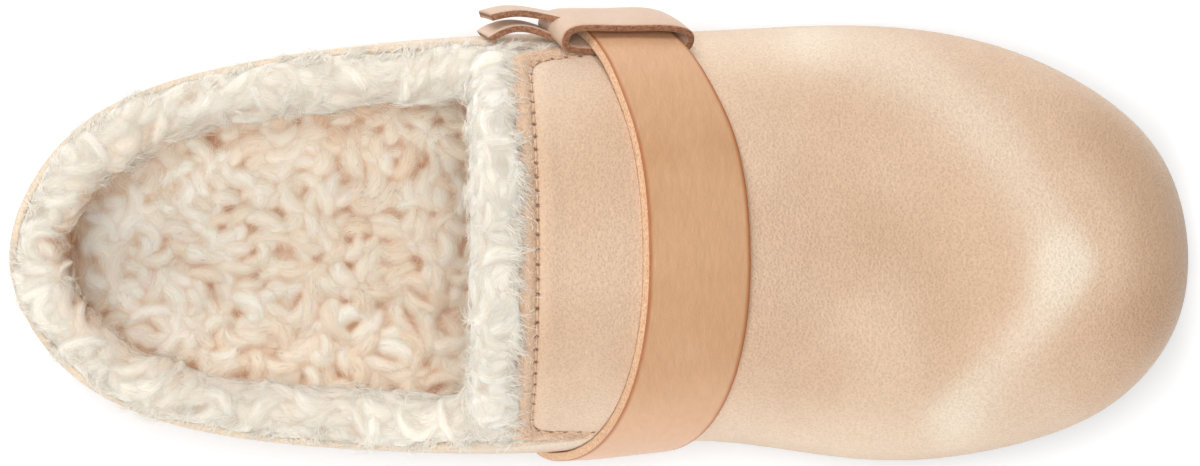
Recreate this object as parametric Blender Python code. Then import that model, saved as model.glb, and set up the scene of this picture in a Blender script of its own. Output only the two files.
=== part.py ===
"""Mule slipper for the left foot: a suede upper with a low back on a rubber sole, a fleece lining
rolled over the collar, and a leather strap over the instep tied with a leather loop.

Sizes are millimetres. "Along" runs from the back of the heel to the toe (+X), "across" is positive
towards the outer side of the foot (+Y) and "height" is above the floor (+Z).
"""

import math
from collections import namedtuple

import bmesh
import bpy
import numpy as np

MM = 0.001


def table(columns, *rows):
    """Rows of numbers whose columns can be read by name."""
    row = namedtuple("Row", columns)
    return [row(*numbers) for numbers in rows]



# Frame: the origin is under the middle of the whole slipper, on the floor
MIDDLE_ALONG = 134.0
MIDDLE_ACROSS = 3.6

# Upper
WALL = 2.0
FIT_GAP = 0.3
FEATHER_TUCK = 2.6  # how far the lower edge turns in under the widest line
FEATHER_TURN = math.radians(68)
WIDE_RISE = 0.2  # share of a rib that lies below the widest line
WIDE_ABOVE_FEATHER = 13.5
HEEL_HUB = 46.0  # the ribs fan out from a hub at each end
TOE_HUB = 226.0
THROAT_ALONG = 114.0  # rear edge of the vamp at its shoulders
THROAT_BOW = 2.2  # how much further forward the edge is on the ridge
NOTCH_ALONG = 137.0  # where back rim and vamp edge meet, under the strap
RIM_JOIN_ALONG = 110.0  # from here the rims of both sides even out towards the notch
SHOULDER_HEIGHT = {1: 65.0, -1: 59.0}  # below it the vamp edge swings forward into the notch, on either side
NOTCH_BEND = 6.0

# Folded edge of the vamp: a rounded hem, its stitch groove, and the puffed panel in front of it
HEM = table(
    "from_edge spread lift",
    (1.9, 1.3, 0.7),
    (4.2, 0.8, -0.6),
    (7.6, 2.2, 0.35),
)
HEM_END_ALONG = (122.0, 131.0)  # it flattens out where the strap covers it

# Widest line of the upper, seen from above, outer side first
OUTLINE = table(
    "along across sole_inset",
    (0.0, -1.4, 1.2),
    (4.0, 13.4, 1.2),
    (17.5, 29.5, 1.2),
    (44.0, 40.6, 1.2),
    (85.0, 47.2, 1.2),
    (125.0, 49.6, 1.4),
    (155.0, 50.0, 1.4),
    (188.0, 51.4, 1.2),
    (216.0, 48.9, 1.2),
    (237.0, 41.8, 1.2),
    (254.0, 30.8, 1.2),
    (264.2, 17.0, 1.0),
    (268.0, -1.8, 0.6),
    (264.6, -18.8, -0.4),
    (254.0, -32.6, -1.0),
    (237.0, -42.0, -1.0),
    (206.0, -48.0, 0.4),
    (180.0, -46.2, 1.2),
    (155.0, -43.6, 1.4),
    (125.0, -45.9, 1.4),
    (85.0, -45.8, 1.2),
    (44.0, -41.3, 1.2),
    (17.5, -31.0, 1.2),
    (4.0, -15.8, 1.2),
)

# Ridge over the foot: behind the throat it only shapes the back walls
RIDGE = table(
    "along height across fullness",
    (46.0, 98.0, -0.5, 2.6),
    (85.0, 94.0, -1.0, 2.4),
    (114.0, 88.0, -1.5, 2.2),
    (152.0, 75.5, -2.0, 2.15),
    (188.0, 62.5, -1.5, 2.2),
    (212.0, 56.5, -1.0, 2.25),
    (226.0, 54.5, -1.0, 2.25),
)
TOE_RIDGE_SLOPE = -0.1

# Where upper and sole meet, and the edge of the low back
FEATHER = table(
    "along height",
    (0.0, 20.5),
    (46.0, 19.5),
    (100.0, 17.5),
    (150.0, 15.0),
    (195.0, 14.0),
    (235.0, 15.5),
    (268.0, 19.5),
)
RIM = table(
    "along height",
    (0.0, 54.0),
    (25.0, 52.0),
    (60.0, 48.5),
    (100.0, 49.0),
    (122.0, 50.0),
    (137.0, 51.0),
)

# Sole
TREAD = table(
    "along height",
    (0.0, 2.6),
    (7.0, 0.0),
    (86.0, 0.0),
    (112.0, 3.0),
    (136.0, 3.0),
    (160.0, 0.0),
    (222.0, 0.0),
    (246.0, 2.4),
    (268.0, 8.0),
)
TREAD_BEVEL = 3.0
SOLE_TOP_ROUND = 1.2

# Insole
INSOLE_INSET = 6.0
INSOLE_THICK = 6.5
INSOLE_CUP = 3.0  # how much the rim of the footbed stands above its middle

# Fleece lining: a roll inside the edge and the wall of pile below it. "Inward" is measured from the
# outside of the upper, "beyond" past its cut edge
FleeceSection = namedtuple(
    "FleeceSection", "inward beyond half_inward half_beyond wall_inward wall_depth wall_half"
)
FLEECE_HEEL = FleeceSection(7.4, 0.0, 4.9, 4.6, 5.0, 17.0, 2.4)
FLEECE_SIDE = FleeceSection(7.4, 0.0, 4.9, 4.6, 5.0, 15.0, 2.4)
FLEECE_SIDE_END = FleeceSection(6.6, 0.0, 3.8, 4.6, 5.2, 13.0, 2.2)
FLEECE_THROAT = FleeceSection(4.6, 4.4, 4.2, 4.8, 5.0, 13.0, 2.2)
FLEECE_SHOULDER = FleeceSection(5.2, 4.2, 4.2, 4.6, 5.2, 9.0, 2.2)
SIDE_END_ALONG = 128.0
FLEECE_STEP = 4.4
LOCK_RAISE = 1.5
LOCK_SPREAD = 3.4
LOCKS_PER_STEP = 2
ROLL_ARC_POINTS = 9

# Strap
STRAP_ALONG = 155.4  # where its middle crosses the ridge
STRAP_WIDTH = 22.8
STRAP_THICK = 2.0
STRAP_LEAN = math.tan(math.radians(24))  # its sides run back towards the heel
STRAP_END_RISE = 0.05
STRAP_CUT = 0.7  # how far the foot of its heel-side edge stands out
STRAP_LIFT = 2.1  # room under it for the loop
STRAP_PULL = 3.6  # how far the loop pulls it towards the heel
LOOP_RISE = 0.39  # where on the outer side the loop sits
STRAP_LIFT_SPREAD = 0.2
STRAP_PINCH = 0.15  # share of its width that the loop gathers in

# Leather loop round the strap, with two loose ends. "Along" is towards the toe from the middle of the
# strap, "out" away from the upper and "down" towards the sole
BAND_THICK = 1.7
LOOP_HEIGHT = 13.0
RISE_LENGTH = 95.0  # how far the side of the upper runs over a whole rise
LOOP_PATH = table(
    "along out",
    (-11.0, 1.2),
    (-1.0, 1.2),
    (7.4, 1.2),
    (11.4, 2.0),
    (12.0, 4.6),
    (7.4, 6.5),
    (-1.0, 6.5),
    (-9.5, 6.5),
    (-15.2, 5.4),
    (-15.8, 2.6),
)
LOOP_STAND_OFF = (2.5, 5.5)  # the front of the loop leans out at the top, from one of these to the other
LOOP_LEAN = 0.09
LOOP_STEPS = 44
TAIL_HEIGHT = 7.5
TAIL_ROOT_THICK = 1.0
TAIL_INNER = table(
    "along out down",
    (-9.5, 1.2, 2.0),
    (-15.0, 1.5, 2.6),
    (-19.5, 3.2, 3.6),
    (-24.3, 3.6, 4.6),
    (-29.3, 1.0, 5.4),
)
TAIL_OUTER = table(
    "along out down",
    (-7.0, 6.4, 2.0),
    (-13.5, 5.9, 2.8),
    (-18.5, 6.7, 4.0),
    (-23.8, 7.2, 5.0),
    (-28.8, 6.2, 5.8),
)
TAIL_STEPS = 15


# Curves

def smooth_curve(knots, values):
    """A natural cubic through the values, as a function of the knot."""
    knots = np.asarray(knots, float)
    values = np.asarray(values, float)
    steps = np.diff(knots)
    count = len(knots)
    system = np.eye(count)
    bends = np.zeros(values.shape)
    for i in range(1, count - 1):
        system[i, i - 1 : i + 2] = steps[i - 1], 2 * (steps[i - 1] + steps[i]), steps[i]
        ahead = (values[i + 1] - values[i]) / steps[i]
        behind = (values[i] - values[i - 1]) / steps[i - 1]
        bends[i] = 6 * (ahead - behind)
    bends = np.linalg.solve(system, bends)

    def at(where):
        i = int(np.clip(np.searchsorted(knots, where) - 1, 0, count - 2))
        h = steps[i]
        left = (knots[i + 1] - where) / h
        right = 1 - left
        curve = (left**3 - left) * bends[i] + (right**3 - right) * bends[i + 1]
        return left * values[i] + right * values[i + 1] + curve * h * h / 6

    return at


def closed_curve(points):
    """A smooth closed curve through the points, as a function of a share from 0 to 1."""
    points = np.asarray(points, float)
    overlap = 4
    round_again = np.concatenate([points[-overlap:], points, points[: overlap + 1]])
    chords = np.linalg.norm(np.diff(round_again, axis=0), axis=1)
    knots = np.concatenate([[0], np.cumsum(np.sqrt(chords))])
    start = knots[overlap]
    length = knots[overlap + len(points)] - start
    curve = smooth_curve((knots - start) / length, round_again)
    return lambda share: curve(share % 1.0)


def open_curve(points):
    """A smooth curve through the points, as a function of a share from 0 to 1."""
    points = np.asarray(points, float)
    chords = np.linalg.norm(np.diff(points, axis=0), axis=1)
    knots = np.concatenate([[0], np.cumsum(chords)])
    return smooth_curve(knots / knots[-1], points)


def curve_of(rows):
    return smooth_curve([row.along for row in rows], [row[1:] for row in rows])


def unit(vector):
    return vector / np.linalg.norm(vector)


OUTLINE_CURVE = closed_curve(OUTLINE)
OUTLINE_SAMPLES = np.array([OUTLINE_CURVE(s) for s in np.linspace(0, 1, 2401)])
RIDGE_CURVE = curve_of(RIDGE)
FEATHER_CURVE = curve_of(FEATHER)
RIM_CURVE = curve_of(RIM)
TREAD_KNOTS = [row.along for row in TREAD]
TREAD_HEIGHTS = [row.height for row in TREAD]


def feather_height(along):
    return float(FEATHER_CURVE(np.clip(along, 0, 268))[0])


def rim_height(along):
    return float(RIM_CURVE(np.clip(along, 0, NOTCH_ALONG))[0])


def tread_height(along):
    return float(np.interp(along, TREAD_KNOTS, TREAD_HEIGHTS))


# Ribs: each runs from a point on the widest line to a point on the ridge

class Rib:
    def __init__(self, wide, sole_inset, crown, fullness):
        self.wide = np.asarray(wide, float)
        self.crown = np.asarray(crown, float)
        self.sole_inset = sole_inset
        self.fullness = fullness
        self.inward = unit(self.crown[:2] - self.wide)
        self.feather = feather_height(self.wide[0])
        self.wide_height = self.feather + WIDE_ABOVE_FEATHER

    def plan(self, inset):
        """The point this far inside the widest line."""
        return self.wide + self.inward * inset

    def reach(self):
        return float(np.linalg.norm(self.crown[:2] - self.wide))


def crown_at(along):
    height, across, fullness = RIDGE_CURVE(along)
    return (along, across, height), fullness


def side_rib(side, along):
    """The rib straight across at this station: side is 1 on the outer side and -1 on the inner."""
    crown, fullness = crown_at(along)
    half = OUTLINE_SAMPLES[OUTLINE_SAMPLES[:, 1] * side > 0]
    half = half[np.argsort(half[:, 0])]
    across = np.interp(along, half[:, 0], half[:, 1])
    sole_inset = np.interp(along, half[:, 0], half[:, 2])
    return Rib((along, across), sole_inset, crown, fullness)


def fan_rib(hub, angle):
    """The rib that leaves the ridge at a hub, at this angle from the toe direction."""
    crown, fullness = crown_at(hub)
    away = OUTLINE_SAMPLES[:, :2] - np.array(crown[:2])
    facing = np.array([math.cos(angle), math.sin(angle)])
    turned = np.arctan2(away[:, 1] * facing[0] - away[:, 0] * facing[1], away @ facing)
    near = np.argsort(np.abs(turned))[:8]
    near = near[np.argsort(turned[near])]
    wide = [np.interp(0.0, turned[near], OUTLINE_SAMPLES[near, i]) for i in range(3)]
    return Rib(wide[:2], wide[2], crown, fullness)


def skin(rib, rise):
    """A point on the outside of the upper.

    Rise 0 is the feather edge, WIDE_RISE the widest line and 1 the ridge.
    """
    if rise < WIDE_RISE:
        turn = FEATHER_TURN * (1 - rise / WIDE_RISE)
        drop = math.sin(turn) / math.sin(FEATHER_TURN)
        tuck = (1 - math.cos(turn)) / (1 - math.cos(FEATHER_TURN))
        height = rib.wide_height - (rib.wide_height - rib.feather - FIT_GAP) * drop
        return np.array([*rib.plan(FEATHER_TUCK * tuck), height])
    turn = 0.5 * math.pi * (rise - WIDE_RISE) / (1 - WIDE_RISE)
    power = 2 / rib.fullness
    out = max(math.cos(turn), 0.0) ** power
    up = math.sin(turn) ** power
    place = rib.crown[:2] + (rib.wide - rib.crown[:2]) * out
    height = rib.wide_height + (rib.crown[2] - rib.wide_height) * up
    if rib.crown[0] >= TOE_HUB:
        height += TOE_RIDGE_SLOPE * (place[0] - rib.crown[0]) * (1 - out) ** 2
    return np.array([*place, height])


def rise_at(rib, height):
    """The rise at which a rib reaches this height above its widest line."""
    up = (height - rib.wide_height) / (rib.crown[2] - rib.wide_height)
    turn = math.asin(min(up ** (rib.fullness / 2), 1.0))
    return WIDE_RISE + (1 - WIDE_RISE) * turn / (0.5 * math.pi)


NOTCH_RISE = rise_at(side_rib(1, NOTCH_ALONG), rim_height(NOTCH_ALONG))
SHOULDER_RISE = {s: rise_at(side_rib(s, THROAT_ALONG), h) for s, h in SHOULDER_HEIGHT.items()}


def vamp_edge(side, rise):
    """Where the rear edge of the vamp lies: straight over the top, then forward into the notch."""
    if rise <= NOTCH_RISE:
        return NOTCH_ALONG
    shoulder = SHOULDER_RISE[side]
    up = min((rise - NOTCH_RISE) / (shoulder - NOTCH_RISE), 1.0)
    over = max((rise - shoulder) / (1 - shoulder), 0.0)
    bow = THROAT_BOW * math.sin(0.5 * math.pi * over)
    return THROAT_ALONG + bow + (NOTCH_ALONG - THROAT_ALONG) * (1 - up) ** NOTCH_BEND


def rim_rise(rib):
    """The rise of the low back's rim on a rib, the same on both sides where it meets the vamp."""
    along = rib.wide[0]
    own = rise_at(rib, rim_height(along))
    joined = np.clip((along - RIM_JOIN_ALONG) / (NOTCH_ALONG - RIM_JOIN_ALONG), 0, 1) ** 2
    return own + (NOTCH_RISE - own) * joined


def side_skin(side):
    return lambda along, rise: skin(side_rib(side, along), rise)


def fan_skin(hub):
    return lambda angle, rise: skin(fan_rib(hub, angle), rise)


def outward(place, where, rise):
    """The upper's outward normal, from two small steps over its skin."""
    step = 1e-3
    low, high = max(rise - step, 0.0), min(rise + step, 1.0)
    across = place(where, high) - place(where, low) if rise < 1 else np.array([0.0, 1.0, 0.0])
    onward = place(where + step, rise) - place(where - step, rise)
    normal = unit(np.cross(onward, across))
    point = place(where, rise)
    centre = np.array([np.clip(point[0], HEEL_HUB, TOE_HUB), 0.0, 30.0])
    return normal if normal @ (point - centre) > 0 else -normal


# Meshes and finishes

def finish(name, colour, roughness):
    material = bpy.data.materials.new(name)
    material.use_nodes = True
    shader = material.node_tree.nodes["Principled BSDF"]
    shader.inputs["Base Color"].default_value = (*colour, 1)
    shader.inputs["Roughness"].default_value = roughness
    shader.inputs["Metallic"].default_value = 0.0
    return material


def add_grid(bm, points, closed_rows=False, closed_columns=False):
    """Quads over rows and columns of points, facing left of the way along a row when the rows climb."""
    rows = [[bm.verts.new(placed(p)) for p in row] for row in points]
    if closed_rows:
        rows.append(rows[0])
    for low, high in zip(rows, rows[1:]):
        low, high = (low + low[:1], high + high[:1]) if closed_columns else (low, high)
        for a, b, c, d in zip(low, low[1:], high[1:], high):
            bm.faces.new((a, b, c, d))
    return rows


def placed(point):
    return ((point[0] - MIDDLE_ALONG) * MM, (point[1] - MIDDLE_ACROSS) * MM, point[2] * MM)


def make_object(name, bm, material):
    bmesh.ops.remove_doubles(bm, verts=bm.verts, dist=1e-6)
    bmesh.ops.dissolve_degenerate(bm, edges=bm.edges, dist=1e-7)
    bmesh.ops.recalc_face_normals(bm, faces=bm.faces)
    mesh = bpy.data.meshes.new(name)
    bm.to_mesh(mesh)
    bm.free()
    mesh.shade_smooth()
    mesh.set_sharp_from_angle(angle=math.radians(50))
    mesh.materials.append(material)
    made = bpy.data.objects.new(name, mesh)
    bpy.context.scene.collection.objects.link(made)
    return made


# Upper

FEATHER_ROWS = np.linspace(0, WIDE_RISE, 4)
WALL_ROWS = np.linspace(WIDE_RISE, NOTCH_RISE, 6)[1:]
SHOULDER_ROWS = NOTCH_RISE + (SHOULDER_RISE[1] - NOTCH_RISE) * np.linspace(0, 1, 7)[1:] ** 1.6
TOP_ROWS = np.linspace(SHOULDER_RISE[1], 1, 8)[1:]
LOW_ROWS = [*FEATHER_ROWS, *WALL_ROWS]
HIGH_ROWS = [*SHOULDER_ROWS, *TOP_ROWS]
VAMP_LENGTH = TOE_HUB - THROAT_ALONG
FROM_EDGE = (0.0, 1.9, 3.4, 4.2, 5.2, 7.6, 11.0, 19.0, 30.0, 42.0, 55.0, 69.0, 84.0, 98.0)
TOE_ANGLES = np.radians(np.linspace(-90, 90, 17))
HEEL_ANGLES = np.radians(np.linspace(90, 270, 15))
BACK_STATIONS = np.linspace(NOTCH_ALONG, HEEL_HUB, 10)


def hem_raise(distance):
    return sum(row.lift * math.exp(-(((distance - row.from_edge) / row.spread) ** 2)) for row in HEM)


def edge_points():
    """Points close together along the vamp's rear edge, from notch to notch."""
    rises = np.linspace(NOTCH_RISE, 1, 90)
    return np.array([side_skin(side)(vamp_edge(side, r), r) for side in (-1, 1) for r in rises])


def wall_at(place, where, rise, hem=0.0):
    """The outside and the inside of the wall at one place."""
    point = place(where, rise)
    out = outward(place, where, rise)
    return point + out * hem, point - out * WALL


def vamp_column(side, from_edge):
    """The wall along one column of the vamp, with the hem raised beside the rear edge."""
    share = from_edge / VAMP_LENGTH
    place = side_skin(side)
    edge = edge_points()
    column = []
    for rise in LOW_ROWS + HIGH_ROWS:
        rear = vamp_edge(side, rise)
        along = rear + share * (TOE_HUB - rear)
        hem = 0.0
        if rise > NOTCH_RISE and from_edge < 20:
            distance = np.linalg.norm(edge - place(along, rise), axis=1).min()
            hem = hem_raise(distance) * np.interp(along, HEM_END_ALONG, (1, 0))
        column.append(wall_at(place, along, rise, hem))
    return column


def toe_column(angle):
    top = skin(fan_rib(TOE_HUB, angle), 1.0)
    column = [wall_at(fan_skin(TOE_HUB), angle, rise) for rise in (LOW_ROWS + HIGH_ROWS)[:-1]]
    return column + [(top, top - np.array([0.0, 0.0, WALL]))]


def back_column(place, where, rib):
    """The wall of the low back from the feather edge up to its rim."""
    rises = np.interp(LOW_ROWS, [0, WIDE_RISE, NOTCH_RISE], [0, WIDE_RISE, rim_rise(rib)])
    return [wall_at(place, where, rise) for rise in rises]


def side_back(side, along):
    return back_column(side_skin(side), along, side_rib(side, along))


def heel_back(angle):
    return back_column(fan_skin(HEEL_HUB), angle, fan_rib(HEEL_HUB, angle))


def add_wall(bm, columns):
    """Outside and inside of a run of wall, closed along its feather edge."""
    faces = [add_grid(bm, [[c[i][f] for c in columns] for i in range(len(columns[0]))]) for f in (0, 1)]
    add_strip(bm, faces[0][0], faces[1][0])
    return faces


def add_strip(bm, first, second):
    for a, b, c, d in zip(first, first[1:], second[1:], second):
        bm.faces.new((a, b, c, d))


def make_upper():
    vamp = [vamp_column(-1, d) for d in FROM_EDGE]
    vamp += [toe_column(a) for a in TOE_ANGLES]
    vamp += [vamp_column(1, d) for d in reversed(FROM_EDGE)]
    back = [side_back(1, x) for x in BACK_STATIONS]
    back += [heel_back(a) for a in HEEL_ANGLES[1:-1]]
    back += [side_back(-1, x) for x in reversed(BACK_STATIONS)]
    bm = bmesh.new()
    outside, inside = add_wall(bm, vamp)
    notch = len(LOW_ROWS) - 1
    for end in (0, -1):
        add_strip(bm, [row[end] for row in outside[notch:]], [row[end] for row in inside[notch:]])
    outside, inside = add_wall(bm, back)
    add_strip(bm, outside[-1], inside[-1])
    return make_object("upper", bm, finish("suede", (0.72, 0.53, 0.37), 0.85))


# Sole and insole: rings of ribs all the way round, closed along the middle

def ring_of_ribs():
    stations = np.linspace(HEEL_HUB, TOE_HUB, 15)
    ring = [side_rib(-1, x) for x in stations]
    ring += [fan_rib(TOE_HUB, a) for a in TOE_ANGLES[1:-1]]
    ring += [side_rib(1, x) for x in reversed(stations)]
    ring += [fan_rib(HEEL_HUB, a) for a in HEEL_ANGLES[1:-1]]
    return ring


def across_rib(rib, inset, share):
    """A plan point on a rib: share 1 is this inset from the widest line, share 0 the middle."""
    edge = rib.plan(inset)
    return rib.crown[:2] + (edge - rib.crown[:2]) * share


def outsole_profile(rib):
    """Points from the middle of the tread, round the edge, to the middle of the top."""
    def tread(inset, share, lift):
        x, y = across_rib(rib, inset, share)
        return (x, y, tread_height(x) + lift)

    def top(inset, share, drop):
        x, y = across_rib(rib, inset, share)
        return (x, y, feather_height(x) - drop)

    inset = rib.sole_inset
    bevel = TREAD_BEVEL
    return [
        tread(inset + 2 * bevel, 0.0, 0.0),
        tread(inset + 2 * bevel, 0.55, 0.0),
        tread(inset + 0.8 * bevel, 1.0, 0.0),
        tread(inset + 0.2 * bevel, 1.0, 0.35 * bevel),
        tread(inset, 1.0, bevel),
        top(inset, 1.0, SOLE_TOP_ROUND),
        top(inset + SOLE_TOP_ROUND, 1.0, 0.0),
        top(inset + 2 * bevel, 0.55, 0.0),
        top(inset + 2 * bevel, 0.0, 0.0),
    ]


def insole_profile(rib):
    def level(share, lift):
        x, y = across_rib(rib, INSOLE_INSET, share)
        return (x, y, feather_height(x) + FIT_GAP + lift)

    def footbed(share):
        return INSOLE_THICK + INSOLE_CUP * share**3

    top_edge = INSOLE_THICK + INSOLE_CUP
    return [
        level(0.0, 0.0),
        level(0.5, 0.0),
        level(0.97, 0.0),
        level(1.0, 1.5),
        level(1.0, top_edge - 1.5),
        level(0.965, top_edge),
        level(0.8, footbed(0.8)),
        level(0.5, footbed(0.5)),
        level(0.0, footbed(0.0)),
    ]


def make_ring(name, profile, material):
    bm = bmesh.new()
    columns = [profile(rib) for rib in ring_of_ribs()]
    add_grid(bm, list(zip(*columns)), closed_columns=True)
    return make_object(name, bm, material)


# Fleece lining

class CollarPoint:
    """A place on the collar: the cut edge, the way in, and the section of fleece there."""

    def __init__(self, place, where, rise, section, upright=(1, 1, 1)):
        self.edge = place(where, rise)
        self.inward = -outward(place, where, rise) * upright
        self.section = np.asarray(section, float)


def rim_point(place, rib, where, section):
    return CollarPoint(place, where, rim_rise(rib), section, upright=(1, 1, 0))


def side_collar(side, along, section):
    return rim_point(side_skin(side), side_rib(side, along), along, section)


def back_collar():
    """The rim of the low back, from the inner side round the heel to the outer side."""
    stations = (118.0, 107.0, 96.0, 85.0, 73.0, 62.0, 51.0)
    points = [side_collar(-1, SIDE_END_ALONG, FLEECE_SIDE_END)]
    points += [side_collar(-1, x, FLEECE_SIDE) for x in stations]
    for angle in np.radians(np.linspace(258, 102, 12)):
        points.append(rim_point(fan_skin(HEEL_HUB), fan_rib(HEEL_HUB, angle), angle, FLEECE_HEEL))
    points += [side_collar(1, x, FLEECE_SIDE) for x in reversed(stations)]
    points += [side_collar(1, SIDE_END_ALONG, FLEECE_SIDE_END)]
    return points


def throat_collar():
    """The rear edge of the vamp, from the outer shoulder over the ridge to the inner one."""
    def shoulder(side, share):
        rise = SHOULDER_RISE[side] + (1 - SHOULDER_RISE[side]) * share
        section = FLEECE_SHOULDER if share < 0.2 else FLEECE_THROAT
        return CollarPoint(side_skin(side), vamp_edge(side, rise), rise, section)

    shares = (0.0, 0.15, 0.32, 0.49, 0.66, 0.83)
    points = [shoulder(1, s) for s in shares]
    points += [shoulder(1, 1.0)]
    points += [shoulder(-1, s) for s in reversed(shares)]
    return points


def fleece_section(section):
    """Roll and wall as one outline of (inward, beyond) points, starting at the foot of the wall outside."""
    s = FleeceSection(*section)
    foot = s.beyond - s.wall_depth
    waist = 0.5 * (foot + s.beyond - 0.9 * s.half_beyond)
    arc = np.linspace(math.radians(235), math.radians(-55), ROLL_ARC_POINTS)
    roll = [(s.inward + s.half_inward * math.cos(a), s.beyond + s.half_beyond * math.sin(a)) for a in arc]
    near, far = s.wall_inward - s.wall_half, s.wall_inward + s.wall_half
    return [(near, foot), (near, waist), *roll, (far, waist), (far, foot)]


def lock_raise(step, index, count):
    """How far the curls stand out at one point of the fleece: a few to each step, in turn round the roll."""
    high = 0.0
    for near in range(step - 2, step + 3):
        for lock in range(LOCKS_PER_STEP):
            turn = (near * 0.382 + lock / LOCKS_PER_STEP) % 1.0
            middle = 2 + turn * (count - 3)
            apart = math.hypot((near - step) * 3.8, (index - middle) * 2.6)
            high = max(high, math.exp(-((apart / LOCK_SPREAD) ** 2)))
    return LOCK_RAISE * high


def make_fleece(name, points, material):
    path = open_curve([np.concatenate([p.edge, p.inward, p.section]) for p in points])
    length = sum(np.linalg.norm(b.edge - a.edge) for a, b in zip(points, points[1:]))
    steps = round(length / FLEECE_STEP)
    rows = []
    for step in range(steps + 1):
        share = 0.001 + 0.998 * step / steps
        here = path(share)
        onward = unit(path(share + 1e-4)[:3] - path(share - 1e-4)[:3])
        inward = unit(here[3:6] - onward * (here[3:6] @ onward))
        beyond = np.cross(inward, onward)
        outline = fleece_section(here[6:])
        row = []
        for i, (a, b) in enumerate(outline):
            away = unit(np.array([a, b]) - here[6:8])
            away = away * lock_raise(step, i, len(outline)) * np.clip(away[0] + 0.3, 0, 1)
            row.append(here[:3] + inward * (a + away[0]) + beyond * (b + away[1]))
        rows.append(row)
    bm = bmesh.new()
    rings = add_grid(bm, rows, closed_columns=True)
    for ring in (rings[0], rings[-1]):
        bm.faces.new(ring)
    return make_object(name, bm, material)


# Strap

def near_loop(side, rise):
    """1 where the strap runs through the loop, fading to 0 away from it."""
    return math.exp(-(((rise - LOOP_RISE) / STRAP_LIFT_SPREAD) ** 4)) if side > 0 else 0.0


def strap_place(side, rise, offset):
    """A point under the strap, this far from its middle, and the way out of the upper there."""
    place = side_skin(side)
    top = side_skin(1)(STRAP_ALONG, 1.0)[2]
    middle = STRAP_ALONG
    pull = STRAP_PULL * near_loop(side, rise)
    for _ in range(6):
        middle = STRAP_ALONG - pull + (place(middle, rise)[2] - top) * STRAP_LEAN
    return place(middle + offset, rise), outward(place, middle + offset, rise)


def make_strap():
    half = 0.5 * STRAP_WIDTH
    edge = 0.35
    section = (
        (-half - STRAP_CUT, 0.0),
        (-half, STRAP_THICK - edge),
        (-half + edge, STRAP_THICK),
        (-0.5 * half, STRAP_THICK),
        (0.0, STRAP_THICK),
        (0.5 * half, STRAP_THICK),
        (half - edge, STRAP_THICK),
        (half, STRAP_THICK - edge),
        (half, 0.0),
        (0.5 * half, 0.0),
        (0.0, 0.0),
        (-0.5 * half, 0.0),
    )
    rises = np.concatenate([np.linspace(STRAP_END_RISE, WIDE_RISE, 4)[:-1], np.linspace(WIDE_RISE, 1, 17)])
    stops = [(-1, r) for r in rises] + [(1, r) for r in rises[-2::-1]]
    rows = []
    for side, rise in stops:
        row = []
        held = near_loop(side, rise)
        for offset, above in section:
            point, out = strap_place(side, rise, offset * (1 - STRAP_PINCH * held))
            row.append(point + out * (FIT_GAP + STRAP_LIFT * held + above))
        rows.append(row)
    bm = bmesh.new()
    rings = add_grid(bm, rows, closed_columns=True)
    for ring in (rings[0], rings[-1]):
        bm.faces.new(ring)
    return make_object("strap", bm, finish("strap_leather", (0.66, 0.4, 0.21), 0.5))


# Loop and its ends

def beside_strap(along, out, down):
    """A point by the strap on the outer side, measured from the middle of the loop."""
    point, away = strap_place(1, LOOP_RISE - down / RISE_LENGTH, along)
    lean = -LOOP_LEAN * down * np.interp(out, LOOP_STAND_OFF, (0, 1))
    return point + away * (out + lean)


def band_faces(path, share, thick):
    """The two faces of a band, as (along, out) points either side of its path."""
    here = path(share)
    onward = unit(path(share + 1e-4)[:2] - path(share - 1e-4)[:2])
    normal = np.array([-onward[1], onward[0]])
    return here[:2] - normal * 0.5 * thick, here[:2] + normal * 0.5 * thick


def loop_mesh():
    path = closed_curve(LOOP_PATH)
    half = 0.5 * LOOP_HEIGHT
    rows = []
    for step in range(LOOP_STEPS):
        under, over = band_faces(path, step / LOOP_STEPS, BAND_THICK)
        corners = [(under, -half), (over, -half), (over, 0.0), (over, half), (under, half), (under, 0.0)]
        rows.append([beside_strap(*face, down) for face, down in corners])
    bm = bmesh.new()
    add_grid(bm, rows, closed_rows=True, closed_columns=True)
    return bm


def tail_mesh(points):
    path = open_curve(points)
    half = 0.5 * TAIL_HEIGHT
    rows = []
    for share in np.linspace(0.002, 0.998, TAIL_STEPS):
        thick = np.interp(share, (0.0, 0.4), (TAIL_ROOT_THICK, BAND_THICK))
        under, over = band_faces(path, share, thick)
        sunk = path(share)[2]
        corners = [(under, -half), (over, -half), (over, 0.0), (over, half), (under, half), (under, 0.0)]
        rows.append([beside_strap(*face, sunk + down) for face, down in corners])
    bm = bmesh.new()
    rings = add_grid(bm, rows, closed_columns=True)
    for ring in (rings[0], rings[-1]):
        bm.faces.new(ring)
    return bm


def make_loop():
    leather = finish("loop_leather", (0.74, 0.52, 0.33), 0.5)
    loop = make_object("strap_loop", loop_mesh(), leather)
    for name, points in (("inner_end", TAIL_INNER), ("outer_end", TAIL_OUTER)):
        end = make_object(name, tail_mesh(points), leather)
        end.hide_render = True
        end.display_type = "WIRE"
        join = loop.modifiers.new(name, "BOOLEAN")
        join.operation = "UNION"
        join.solver = "EXACT"
        join.object = end
    return loop


def main():
    for old in list(bpy.data.objects):
        bpy.data.objects.remove(old)
    make_ring("outsole", outsole_profile, finish("sole_rubber", (0.11, 0.075, 0.055), 0.7))
    make_ring("insole", insole_profile, finish("footbed", (0.82, 0.68, 0.54), 0.95))
    make_upper()
    fleece = finish("fleece", (0.86, 0.77, 0.66), 0.95)
    make_fleece("fleece_back", back_collar(), fleece)
    make_fleece("fleece_throat", throat_collar(), fleece)
    make_strap()
    make_loop()


main()
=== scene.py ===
import math

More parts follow.
